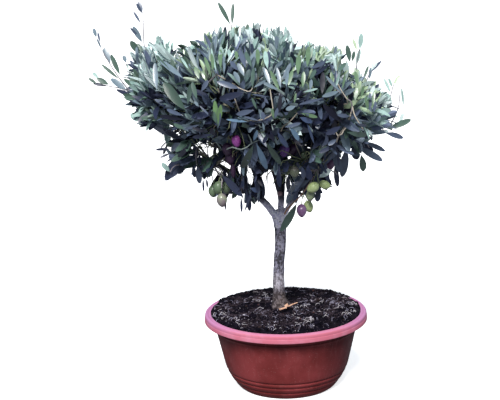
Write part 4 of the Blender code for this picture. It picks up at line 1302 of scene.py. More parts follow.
class Twig:
    """A twig's line, its radii in millimetres, the mass it belongs to and its kind."""

    def __init__(self, points, first, last, mass, kind):
        self.points = points
        self.radii = tapered(points, first, last)
        self.mass = mass
        self.kind = kind
        self.length = length_of(points)


def astray(rng, spread):
    """A short way in a random direction."""
    return Vector([rng.gauss(0, spread) for _ in range(3)])


def crooked(points, rng, sway):
    """The same line, a little crooked between its ends."""
    return [points[0]] + [point + astray(rng, 1) * sway for point in points[1:-1]] + [points[-1]]


def stem_line(foot, way, centre):
    """A mass's stem: straight on from the tip of its limb, and then to the mass's middle."""
    collar = foot + way * GAP + way * 8 * MM
    return [foot - way * 2 * MM, collar, collar.lerp(centre, 0.55) + way * 3 * MM, centre]


rng = random.Random(SEEDS["tips"])
first_tips = []
for i, (radius, z, out) in enumerate(skin_places(TWIG_COUNT)):
    inset = (INNER_TWIG_INSET if i % INNER_TWIG_EVERY == 1 else TWIG_INSET) + rng.uniform(-14, 10) * MM
    azimuth = TWIG_START + i * GOLDEN_ANGLE
    point, out = skin_point(radius, z, out, azimuth, min(inset, 0.8 * radius + 20 * MM))
    first_tips.append((point, wanted_way(out, z), "outer"))
for i in range(HEART_TWIGS):
    rise = 1 - 2 * (i + 0.5) / HEART_TWIGS
    flat = math.sqrt(1 - rise * rise)
    way = Vector((flat * math.cos(i * GOLDEN_ANGLE), flat * math.sin(i * GOLDEN_ANGLE), rise))
    first_tips.append((centres["heart_middle"] + way * HEART_RADIUS, way, "inner"))
for tip, way in SHOOTS:
    way = Vector(way).normalized()
    first_tips.append((vector_mm(tip) + way * SHOOT_MORE, way, "hanging" if way.z < -0.5 else "shoot"))

rng = random.Random(SEEDS["twigs"])
stems = {}
for name, centre in centres.items():
    stems[name] = Twig(stem_line(*feet[name], centre), *STEM_RADII, name, "stem")
first_twigs = []
for tip, arriving, kind in first_tips:
    mass = own_mass(tip)
    start, stem_way = place_on(stems[mass].points, rng.uniform(0.35, 0.95))
    leaving = (tip - start).normalized() + stem_way * rng.uniform(0, 0.8)
    line = crooked(smooth_curve(start, leaving, tip, arriving, TWIG_STEPS), rng, 1.3 * MM)
    first_twigs.append(Twig(line, *TWIG_RADII, mass, kind))
print(len(stems), "stems,", len(first_twigs), "twigs of the first order")

# %% [markdown]
# ## Sprays
# Last year's growth is a spray: a thin shoot that leaves an older twig, turns to the light and carries most
# of the leaves. Each spray is given a place just below the skin, again on a golden spiral, and starts from
# the nearest suitable point of its own mass. Two inner layers of shorter sprays keep the crown from being
# hollow.

# %% Sprays
LAYERS = (  # sprays, inset from the skin, spread of the inset, start of the spiral, kind
    (330, 33 * MM, 10 * MM, 0.7, "outer"),
    (120, 72 * MM, 13 * MM, 2.1, "inner"),
    (60, 118 * MM, 14 * MM, 4.4, "deep"),
)
SPRAY_STEPS = 6
SPRAY_RADII = (1.15, 0.55)
SPRAY_SHORTEST = 42 * MM
SPRAY_USUAL = 72 * MM
SPRAY_LONGEST = 150 * MM
SPRAY_MARGIN = 9  # pixels inside the front outline

anchors = {name: [] for name in centres}
for twig in [*stems.values(), *first_twigs]:
    first, end = (2, 0) if twig.kind == "stem" else (1, 1)
    for i in range(first, len(twig.points) - end):
        way = (twig.points[min(i + 1, len(twig.points) - 1)] - twig.points[i - 1]).normalized()
        anchors[twig.mass].append((twig.points[i], way))


def spray_start(target, mass):
    """The point of the mass's twigs that a spray to the target leaves from, and the twig's way there."""

    def cost(anchor):
        point, way = anchor
        reach = target - point
        length = reach.length
        bend = 1 - way.dot(reach.normalized())
        inward = max(0.0, outside_crown(point) - outside_crown(target) + 22 * MM)
        return abs(length - SPRAY_USUAL) + bend * 45 * MM + inward * 2 + max(0.0, SPRAY_SHORTEST - length) * 6

    return min(anchors[mass], key=cost)


rng = random.Random(SEEDS["sprays"])
sprays = []
for count, inset, spread, start_angle, kind in LAYERS:
    for i, (radius, z, out) in enumerate(skin_places(count)):
        azimuth = start_angle + i * GOLDEN_ANGLE + rng.uniform(-0.09, 0.09)
        depth = inset + rng.gauss(0, 0.5) * spread
        target, out = skin_point(radius, z, out, azimuth, min(depth, 0.85 * radius + 10 * MM))
        mass = own_mass(target)
        target = drawn_in(target, centres[mass], SPRAY_MARGIN)
        start, way = spray_start(target, mass)
        arriving = wanted_way(out, z) + astray(rng, 0.22)
        leaving = (target - start).normalized() + way * 0.5
        if (target - start).length > SPRAY_LONGEST:
            continue
        line = crooked(smooth_curve(start, leaving, target, arriving, SPRAY_STEPS), rng, 1.1 * MM)
        sprays.append(Twig(line, *SPRAY_RADII, mass, kind))
lengths = [spray.length for spray in sprays]
print(len(sprays), "sprays from", round(min(lengths), 3), "to", round(max(lengths), 3), "m")

# %% [markdown]
# ## The leaf
# An olive leaf is narrow and leathery, widest at the middle, drawn out to a fine point, on a short stalk.
# Its upper side is dull grey-green with a sunken midrib, its lower side is silvery. Each leaf could be a flat
# card with a picture on it, but a closed body with its own outline holds up from all sides. A sphere with
# four sides and seven bands has the right number of corners: its bands become stations along the leaf, its
# sides become the two margins, the midrib above and the midrib below.

# %% The leaf's template
LEAF_BANDS = 7
LEAF_ALONG = (0, 0.08, 0.2, 0.38, 0.58, 0.78, 0.93, 1)  # share of the length at each band's edge
LEAF_HALF = (0, 0.10, 0.46, 0.86, 1.0, 0.88, 0.50, 0)  # share of the half width
LEAF_THICK = 0.32 * MM
LEAST_BEND = 0.01  # the sums divide by the bend, so no leaf is quite straight


def leaf_template():
    """Stations of the leaf's points: along, across, and up or down from the blade; then its triangles."""
    bm = bmesh.new()
    bmesh.ops.create_uvsphere(bm, u_segments=4, v_segments=LEAF_BANDS, radius=1)
    for face in bm.faces:
        face.material_index = int(face.calc_center_median().y < 0)
    points, triangles, kinds = template_of(bm)
    band = np.rint(np.arccos(np.clip(-points[:, 2], -1, 1)) * LEAF_BANDS / math.pi).astype(int)
    ring = np.maximum(np.hypot(points[:, 0], points[:, 1]), 1e-9)
    along = np.array(LEAF_ALONG)[band]
    pole = (band == 0) | (band == LEAF_BANDS)
    across = np.where(pole, 0, points[:, 0] / ring) * np.array(LEAF_HALF)[band]
    rise = np.where(pole, 0, points[:, 1] / ring)
    return along, across, rise, triangles, kinds


leaf_along, leaf_across, leaf_rise, leaf_triangles, leaf_kinds = leaf_template()
print("a leaf has", len(leaf_along), "points and", len(leaf_triangles), "triangles")

# %% [markdown]
# ### Bending and placing leaves
# No two leaves lie alike: each has its own root, way, face, length and width, bends along an arc, twists a
# little and is folded along its midrib. The sums for all leaves of a piece are done at once with arrays.


# %% Placing leaves
def unit(ways):
    return ways / np.linalg.norm(ways, axis=-1, keepdims=True)


def placed_leaves(rows):
    """An array of the points of every leaf. A row is root, way, face, length, width, bend, twist, fold."""
    root, way, face = (np.array([row[i] for row in rows])[:, None] for i in range(3))
    length, width, bend, twist, fold = (np.array([row[i] for row in rows])[:, None] for i in range(3, 8))
    way = unit(way)
    side = unit(np.cross(way, face))
    over = np.cross(side, way)
    bend = np.where(np.abs(bend) < LEAST_BEND, LEAST_BEND, bend)
    angle = bend * leaf_along
    run = length * np.sin(angle) / bend
    drop = length * (1 - np.cos(angle)) / bend
    over_here = over * np.cos(angle)[..., None] + way * np.sin(angle)[..., None]
    turn = (twist * leaf_along)[..., None]
    side_here = side * np.cos(turn) + over_here * np.sin(turn)
    over_here = over_here * np.cos(turn) - side * np.sin(turn)
    aside = leaf_across * width / 2
    lift = fold * np.abs(leaf_across) * width / 2 + leaf_rise * LEAF_THICK * (1 - 0.4 * leaf_along)
    return (
        root + way * run[..., None] - over * drop[..., None]
        + side_here * aside[..., None] + over_here * lift[..., None]
    )


# %% [markdown]
# ## Growing the leaves
# Olive leaves stand in pairs, each pair a quarter turn from the last, closer together and smaller towards
# the tip. At the tip they point forwards, and older ones spread and turn their faces to the light. Those on
# the low sprays hang.
#
# A pair is drawn before it is asked whether there is room for it, so that taking a leaf away here never
# changes the leaves that come after it.

# %% Growing pairs of leaves
LEAF_LENGTH = 57 * MM
LEAF_WIDTH = 13.5 * MM
PAIR_SPACING = 12.5 * MM
PAIR_SPACES = (0.55, 0.8, 1.0)  # the first spaces behind the tip are shorter
TIP_SIZES = (0.52, 0.72, 0.88, 0.97, 1.03)
BARE_FOOT = 6 * MM  # the first stretch of a twig has no leaves


class LeafBed:
    """Every leaf as it grows, with its mass and its family of colour."""

    def __init__(self):
        self.rows, self.masses, self.families, self.free = [], [], [], []

    def keep(self, row, mass, family, free):
        self.rows.append(row)
        self.masses.append(mass)
        self.families.append(family)
        self.free.append(free)

    def add(self, root, way, face, size, rng, mass, family, free, width=1.0):
        """A leaf that grows from a twig, with its own length, width, bend, twist and fold."""
        length = LEAF_LENGTH * size * rng.uniform(0.9, 1.12)
        wide = LEAF_WIDTH * (0.35 + 0.65 * size) * rng.uniform(0.84, 1.16) * width
        shape = (length, wide, rng.gauss(0.10, 0.22), rng.gauss(0, 0.35), rng.uniform(0.12, 0.6))
        self.keep((tuple(root), tuple(way), tuple(face), *shape), mass, family, free)

    def put(self, root, tip, face, width, rng, mass, family):
        """A leaf set by its two ends. It is kept whatever it stands in front of."""
        shape = ((tip - root).length, width, rng.uniform(0.04, 0.3), rng.gauss(0, 0.2), 0.22)
        self.keep((tuple(root), tuple(tip - root), face, *shape), mass, family, True)


def line_at(points, distance):
    """Point and way at a distance back from the end of a line."""
    for a, b in zip(points[-2::-1], points[::-1]):
        step_length = (b - a).length
        if distance <= step_length:
            return b.lerp(a, distance / step_length), (b - a).normalized()
        distance -= step_length
    return points[0], (points[1] - points[0]).normalized()


def grow_pairs(bed, twig, leafy, family, rng, scale=1.0, spread=1.0, spacing=1.0, width=1.0, droop=0.0):
    """Pairs of leaves along the last stretch of a twig, from its tip back."""
    free = twig.kind == "shoot"
    turn = rng.uniform(0, math.pi)
    distance, i = 0.0, 0
    while distance < min(leafy, twig.length - BARE_FOOT):
        root, way = line_at(twig.points, distance)
        side = way.cross(UP if abs(way.z) < 0.9 else Vector((1, 0, 0))).normalized()
        side = Matrix.Rotation(turn, 3, way) @ side
        size = scale * TIP_SIZES[min(i, len(TIP_SIZES) - 1)]
        angle = math.radians(14 + 11 * min(i, 4)) * spread
        for hand in (1, -1):
            here = angle * rng.uniform(0.75, 1.3)
            swing = Matrix.Rotation(rng.gauss(0, 0.28), 3, way) @ (side * hand)
            leaf_way = way * math.cos(here) + swing * math.sin(here) - UP * droop * rng.uniform(0.4, 1.3)
            light = outwards(root) * 0.5 + UP * 0.75
            face = way * math.sin(here) - swing * math.cos(here) + light * rng.uniform(0.0, 0.5 + 0.7 * spread)
            bed.add(root, leaf_way, face, size, rng, twig.mass, strayed(family, rng), free, width)
        turn += math.pi / 2 + rng.gauss(0, 0.2)
        distance += spacing * PAIR_SPACING * PAIR_SPACES[min(i, 2)] * rng.uniform(0.8, 1.25)
        i += 1
    root, way = line_at(twig.points, 0)
    way = way + astray(rng, 0.1)
    bed.add(root, way, outwards(root), 0.5 * scale, rng, twig.mass, strayed(family, rng), free)


# %% [markdown]
# ## Families of leaf colour
# The crown isn't one green. Leaves on top are pale sage with some fresh yellow-green among them, those at
# the waist are a middle grey-green, and the old ones below and inside are slate-dark. Part of this is the
# leaves' own colour, young and old, and part is painted light and shade: the pale sage and silver of the top
# stand for the sun on it, the slate, dark and shade families for the shade below and inside, and their blue
# tint for the sky's reflection. So each spray is dealt one of the first eight families by its height and
# depth. The last six are for leaves that are set one by one further on.

# %% Leaf finishes
# partly the leaves' own colour, partly painted light, shade and sky reflection, as said above
FAMILIES = {  # colour of the upper side and of the underside
    "sage": ((0.318, 0.460, 0.428), (0.520, 0.650, 0.640)),
    "silver": ((0.600, 0.730, 0.720), (0.720, 0.830, 0.840)),
    "young": ((0.400, 0.520, 0.340), (0.520, 0.630, 0.490)),
    "middle": ((0.150, 0.208, 0.255), (0.250, 0.320, 0.400)),
    "slate": ((0.070, 0.094, 0.150), (0.150, 0.185, 0.285)),
    "dark": ((0.022, 0.029, 0.062), (0.050, 0.058, 0.105)),
    "shade": ((0.008, 0.009, 0.020), (0.012, 0.014, 0.030)),
    "green": ((0.068, 0.122, 0.096), (0.160, 0.230, 0.190)),
    "fresh": ((0.140, 0.260, 0.105), (0.280, 0.420, 0.240)),
    "plain": ((0.062, 0.108, 0.090), (0.200, 0.280, 0.250)),
    # deep: painted shade, a dark green for hanging leaves that the front light would brighten
    "deep": ((0.036, 0.068, 0.052), (0.140, 0.200, 0.170)),
    "old_young": ((0.110, 0.190, 0.105), (0.220, 0.320, 0.190)),
    # steel and blue: a painted sky reflection in the colour of hanging leaves
    "steel": ((0.115, 0.200, 0.300), (0.240, 0.330, 0.440)),
    "blue": ((0.045, 0.072, 0.150), (0.120, 0.150, 0.260)),
}
GLOSS = {"dark": (0.42, 0.42), "shade": (0.50, 0.25)}  # roughness and specular of those in the shade
USUAL_GLOSS, UNDER_GLOSS = (0.33, 0.7), (0.75, 0.2)


def leaf_finish(name, colour, roughness, specular):
    """A leathery leaf: its colour a little uneven, its gloss too, and a faint grain across it."""
    finish = Finish(name, roughness, specular)
    uneven = finish.group(blotches, Scale=75, Low=0.3, High=0.7)
    darker = tuple(channel * 0.84 for channel in colour)
    lighter = tuple(min(1.0, channel * 1.12) for channel in colour)
    finish.set("Base Color", finish.mix(uneven, darker, lighter))
    finish.set("Roughness", finish.number(uneven, roughness + 0.08, roughness - 0.06))
    finish.bump(finish.group(blotches, Scale=620, Low=0.3, High=0.7), 0.1 * MM, 0.35)
    return finish.material


leaf_finishes = []
for family, (upper, under) in FAMILIES.items():
    leaf_finishes.append(leaf_finish(f"leaf_{family}_upper", upper, *GLOSS.get(family, USUAL_GLOSS)))
    leaf_finishes.append(leaf_finish(f"leaf_{family}_under", under, *UNDER_GLOSS))
print(len(leaf_finishes), "leaf finishes")

# %% [markdown]
# ### Dealing the families
# The height is taken along the crown's own tilt, and the kind of a spray says how deep it lies. The right side
# of the crown has more young growth, the left more leaves of a plain green. Single leaves stray to a
# neighbouring family. A family is named by what it is on the tree, so its neighbours are a table.


# %% Dealing the families
RIM_LIGHT = 0.14  # the crown's sides get more light than its middle at the same height
EVEN_STEP = 2**0.5  # draws in even steps, so that no family gathers on one side by chance
STRAY = 0.3  # share of the leaves that stray from the family of their spray
NEXT_FAMILY = {  # one step darker, one lighter, and the two that single leaves stray to
    "sage": ("middle", "silver", "silver", "middle"),
    "silver": ("sage", "silver", "sage", "sage"),
    "young": ("green", "silver", "sage", "silver"),
    "middle": ("slate", "sage", "sage", "slate"),
    "slate": ("dark", "middle", "middle", "dark"),
    "dark": ("shade", "slate", "slate", "shade"),
    "shade": ("shade", "dark", "dark", "shade"),
    "green": ("slate", "sage", "middle", "dark"),
}
ANYWHERE = -9
# painted light and shade: pale families high and on the sides, dark ones low and inside
SHARES = {  # kind of spray: from which rise in the crown up, and the share of each family there
    "hanging": ((ANYWHERE, {"slate": 0.42, "dark": 0.48, "middle": 0.10}),),
    "deep": ((ANYWHERE, {"shade": 0.8, "dark": 0.2}),),
    "inner": (
        (0.80, {"shade": 0.2, "dark": 0.4, "slate": 0.4}),
        (ANYWHERE, {"shade": 0.45, "dark": 0.43, "slate": 0.12}),
    ),
    "outer": (
        (0.82, {"sage": 0.42, "silver": 0.20, "young": 0.16, "middle": 0.16, "green": 0.06}),
        (0.68, {"sage": 0.32, "silver": 0.08, "young": 0.14, "middle": 0.24, "green": 0.10, "slate": 0.12}),
        (0.54, {"sage": 0.07, "silver": 0.03, "middle": 0.24, "slate": 0.32, "green": 0.10, "dark": 0.24}),
        (ANYWHERE, {"sage": 0.04, "middle": 0.12, "slate": 0.34, "green": 0.06, "dark": 0.30, "shade": 0.14}),
    ),
}


def deal(point, kind, draw):
    """A family for a spray by its height in the crown and its kind. The draw is from 0 to 1."""
    if kind == "shoot":
        return "sage"
    x = point.x - CROWN_AXIS
    rise = rise_of(point.z + CROWN_TILT * x)
    if rise > 0.5:
        rise += RIM_LIGHT * min(1.0, abs(x) / CROWN_RADIUS) ** 3
    shares = dict(next(shares for above, shares in SHARES[kind] if rise > above))
    if x > 60 * MM and "young" in shares:
        shares["young"] += 0.45
    if x < -50 * MM and "green" in shares:
        shares["green"] += 0.32
    draw *= sum(shares.values())
    for family, share in shares.items():
        draw -= share
        if draw <= 0:
            break
    return family


def strayed(family, rng):
    """The family of a single leaf: its spray's, or at times a neighbouring one."""
    draw = rng.random()
    return family if draw > STRAY else NEXT_FAMILY[family][2 + int(draw > STRAY * 0.55)]


print("shares for the kinds", ", ".join(SHARES))


# %% [markdown]
# ## Leaves on every twig and spray
# The outer sprays are leafy over most of their length. Twigs of the first order keep leaves only near their
# tips. Low down the leaves hang, which is what opens the underside of the crown.

# %% Growing all the leaves
LEAFY = {"outer": (62, 95), "inner": (40, 62), "deep": (36, 55)}  # length with leaves, in millimetres
HABITS = {  # rises in the crown, and what the leaves are like at each
    "scale": ((0.35, 0.58, 0.75), (1.14, 1.12, 0.93)),
    "spread": ((0.35, 0.55, 0.75), (1.3, 1.0, 0.55)),
    "spacing": ((0.35, 0.58, 0.7, 0.8), (1.45, 1.3, 1.0, 0.88)),
    "width": ((0.45, 0.75), (0.97, 0.8)),
}
SHOOT_HABITS = {  # length with leaves, then scale, spread and spacing
    "shoot": (105, (0.8, 0.75, 1.6)), "hanging": (60, (0.95, 0.8, 1.0)),
}
YOUNG_SCALE = 0.84

bed = LeafBed()
for number, twig in enumerate(first_twigs + sprays):
    rng = random.Random(SEEDS["leaves"] + number)
    tip = twig.points[-1]
    rise = rise_of(tip.z)
    family = deal(tip, twig.kind, (number * EVEN_STEP) % 1)
    if twig.kind in SHOOT_HABITS:
        leafy, habits = SHOOT_HABITS[twig.kind]
        grow_pairs(bed, twig, leafy * MM, family, rng, *habits)
        continue
    leafy = {kind: rng.uniform(*reach) for kind, reach in LEAFY.items()}[twig.kind]
    habits = {name: float(np.interp(rise, *points)) for name, points in HABITS.items()}
    if family == "young":
        habits["scale"] *= YOUNG_SCALE
    grow_pairs(bed, twig, leafy * MM, family, rng, droop=max(0.0, 0.46 - rise) * 1.5, **habits)
print(len(bed.rows), "leaves drawn")

# %% [markdown]
# ## Olives
# The olives hang in ones, twos and threes on stiff stalks: some still green, some turning, some purple with
# a pale bloom. Each has its own place, in millimetres, and hangs from the nearest twig of the crown by a
# bearer that bends down to it. The fruit is an egg that ends in a small point.

# %% Olive finishes
OLIVE_TONES = {  # base, blush, share of the blush
    "green": ((0.092, 0.142, 0.080), (0.200, 0.265, 0.160), 0.6),
    "light_green": ((0.420, 0.520, 0.220), (0.570, 0.650, 0.380), 0.6),
    "turning": ((0.270, 0.350, 0.190), (0.200, 0.130, 0.190), 0.85),
    "half_ripe": ((0.230, 0.260, 0.170), (0.240, 0.150, 0.250), 0.85),
    "purple": ((0.120, 0.055, 0.130), (0.270, 0.170, 0.320), 0.7),
    "violet": ((0.110, 0.045, 0.200), (0.240, 0.110, 0.420), 0.7),
    "plum": ((0.035, 0.016, 0.042), (0.110, 0.045, 0.120), 0.5),
    "magenta": ((0.360, 0.045, 0.330), (0.560, 0.150, 0.560), 0.6),
}


def olive_finish(name, base, blush, share):
    finish = Finish(f"olive_{name}", 0.36, 0.5)
    turned_side = finish.group(blotches, Scale=42, Low=0.35, High=0.65)
    colour = finish.over(base, turned_side, share, blush)
    dots = finish.group(specks, Scale=620, Radius=0.26, Share=0.35)
    paler = tuple(min(1.0, channel * 1.5 + 0.08) for channel in base)
    finish.set("Base Color", finish.over(colour, dots, 0.5, paler))
    bloom = finish.group(blotches, finish.stretched((1, 1, 1), (4, 4, 4)), Scale=90, Low=0.35, High=0.7)
    finish.set("Roughness", finish.number(bloom, 0.26, 0.52))
    finish.bump(dots, 0.06 * MM, 0.5)
    return finish.material


olive_finishes = [olive_finish(name, *tones) for name, tones in OLIVE_TONES.items()]
tone_order = list(OLIVE_TONES)
print("olive tones:", ", ".join(tone_order))

# %% [markdown]
# ### Placing the olives
# The list gives each olive's middle and tone. A cluster shares one bearer, which ends about a stalk's length
# above its olives.

# %% The olives' places
OLIVE_LENGTH = 23.5 * MM
OLIVE_WIDTH = 18.8 * MM
OLIVE_SEGMENTS, OLIVE_RINGS = 14, 9
OLIVE_SHARP = 40
BEARER_STEPS = 6
BEARER_RADII = (1.15, 0.61)
STALK_RADII = (0.85, 0.7, 0.65, 0.65, 0.75, 1.15)
FRUITING = ("low", "middle")  # tiers that bear fruit
CLUSTERS = {  # end of the bearer, then the olives: middle, tone, size, and for some their way and slimness
    "left": ((-112, -122, 448), [((-120, -124, 421), "green", 1.0), ((-114, -129, 399), "turning", 1.05),
                                 ((-130, -112, 413), "green", 0.92), ((-106, -106, 417), "green", 0.9)]),
    "left_high": ((-92, -140, 526), [((-84, -152, 509), "magenta", 0.88), ((-101, -132, 492), "plum", 1.0),
                                     ((-97, -124, 474), "plum", 0.95),
                                     ((-92, -120, 451), "plum", 1.2, (0.05, 0, -1), 0.42)]),
    "middle": ((8, -112, 505), [((1, -126, 486), "violet", 1.0), ((17, -104, 483), "plum", 0.95)]),
    "small": ((32, -112, 492), [((36, -112, 474), "green", 0.55)]),
    "centre": ((22, -104, 466), [((19, -108, 443), "half_ripe", 0.84, (0.1, -0.1, -1), 1.2)]),
    "right": ((60, -112, 438), [((52, -118, 415), "light_green", 1.0, (-0.86, 0, -0.5)),
                                ((73, -112, 418), "light_green", 0.88, (0.9, -0.2, -0.3)),
                                ((47, -104, 397), "turning", 0.85)]),
    "right_low": ((36, -84, 392), [((45, -80, 372), "light_green", 0.95, (0.3, 0, -1)),
                                   ((31, -100, 369), "purple", 1.02)]),
    "back": ((-46, 148, 452), [((-56, 154, 424), "green", 1.0), ((-34, 146, 420), "turning", 0.95)]),
    "back_right": ((96, 88, 452), [((100, 92, 422), "purple", 1.0)]),
}


def olive_template():
    bm = bmesh.new()
    bmesh.ops.create_uvsphere(bm, u_segments=OLIVE_SEGMENTS, v_segments=OLIVE_RINGS, radius=0.5)
    for vert in bm.verts:
        low = max(0.0, -vert.co.z * 2)
        vert.co.x *= 1 - 0.10 * low
        vert.co.y *= 1 - 0.10 * low
        vert.co.z -= 0.05 * low**6
    return template_of(bm)


def make_olives():
    """One mesh of every olive, and the lines of the bearers and stalks that carry them."""
    rng = random.Random(SEEDS["olives"])
    points, triangles, _ = olive_template()
    copies, kinds, lines = [], [], []
    for end, fruit in CLUSTERS.values():
        end = vector_mm(end)
        mass = own_mass(end)
        start, way = spray_start(end, mass)
        leaving = (end - start).normalized() + way * 0.4
        bearer = crooked(smooth_curve(start, leaving, end, -UP, BEARER_STEPS), rng, MM)
        lines.append((bearer, tapered(bearer, *BEARER_RADII), 0))
        for number, (middle, tone, size, *shape) in enumerate(fruit):
            middle = vector_mm(middle)
            root, _ = line_at(bearer, number * 5 * MM)
            hang = (middle - root).normalized()
            way = (hang * 0.35 - UP + astray(rng, 0.12)).normalized()
            way = Vector(shape[0]).normalized() if shape else way
            wide = OLIVE_WIDTH * (shape[1] if len(shape) > 1 else 1.0)
            turn = np.array((-UP).rotation_difference(way).to_matrix())
            scale = np.array((wide, wide, OLIVE_LENGTH)) * size
            copies.append((points * scale) @ turn.T + np.array(middle))
            kinds.append([tone_order.index(tone)] * len(triangles))
            top = middle - way * (OLIVE_LENGTH * size / 2 - 1 * MM)
            stalk = smooth_curve(root, hang - UP * 0.2, top, way, 5)
            lines.append((stalk, STALK_RADII, 1))
    return joined_mesh("olives", copies, triangles, kinds, OLIVE_SHARP), lines


olive_mesh, fruit_lines = make_olives()
dress(olive_mesh, "olives", olive_finishes, foliage(FRUITING))

# %% [markdown]
# ## Twigs that are seen
# Some twigs are plain to see from the front: a thin reddish one that leaves the trunk under the fork and
# bears a leaf that hangs before the bark, a dark one and a tan one high on the left, a pale one with a fork
# below them, a forked tan one on the right, and a short one in the middle. They are given by their points.

# %% Twigs that are seen
SEEN_TWIGS = {  # points in millimetres, first and last radius, material
    "trunk_shoot": (((2, -6, 341), (7, -14, 353), (16, -28, 366), (27, -42, 379), (40, -58, 398), (56, -78, 428)),
                    1.9, 1.1, 3),
    "left_dark": (((-150, -140, 590), (-138, -170, 604), (-126, -185, 618), (-112, -192, 631)), 2.2, 1.5, 0),
    "left_high": (((-113, -190, 629), (-95, -192, 619), (-76, -192, 607), (-57, -190, 598), (-37, -182, 594)),
                  1.3, 0.8, 2),
    "left_pale_a": (((-106, -130, 489), (-92, -160, 499), (-78, -174, 497), (-67, -182, 501), (-57, -187, 509),
                     (-39, -192, 517)), 1.3, 0.9, 4),
    "left_pale_b": (((-57, -187, 509), (-59, -189, 517), (-63, -190, 525)), 1.2, 0.8, 4),
    "right_fork_foot": (((92, -112, 478), (95, -140, 506), (104, -156, 524), (114, -164, 543), (119, -168, 560)),
                        1.9, 1.5, 2),
    "right_fork_left": (((118, -168, 556), (118, -170, 572), (106, -172, 583), (92, -172, 596), (75, -168, 615)),
                        1.4, 0.8, 0),
    "right_fork_right": (((119, -168, 568), (122, -172, 553), (129, -174, 539), (138, -168, 525)), 1.3, 0.8, 2),
    "middle_pale": (((-6, -196, 530), (-2, -204, 539), (9, -210, 548), (22, -210, 562)), 1.1, 0.7, 2),
}
TRUNK_LEAF = ((297.6, 202), (281, 232), -50 * MM, 17 * MM)  # its foot and tip in the frame, depth and width

seen_lines = []
rng = random.Random(SEEDS["seen_twigs"])
for points, first, last, kind in SEEN_TWIGS.values():
    line = finer([vector_mm(point) for point in points], 3)
    seen_lines.append((line, tapered(line, first, last), kind))
foot, tip, depth, width = TRUNK_LEAF
bed.put(on_depth(foot, depth), on_depth(tip, depth), (0.5, -0.8, 0.3), width, rng, "low_front_right", "green")
print(len(seen_lines), "twigs set by hand")

# %% [markdown]
# ## Shoots at the edge
# The eye follows the leaves that stand out of the crown's edge, so these are set one by one. Each shoot has
# a depth, the line of its twig and its leaves, given by their places in the frame: above, thin shoots with
# a few leaves each, and below, older leaves that hang. Its twig starts at the nearest twig of its mass.

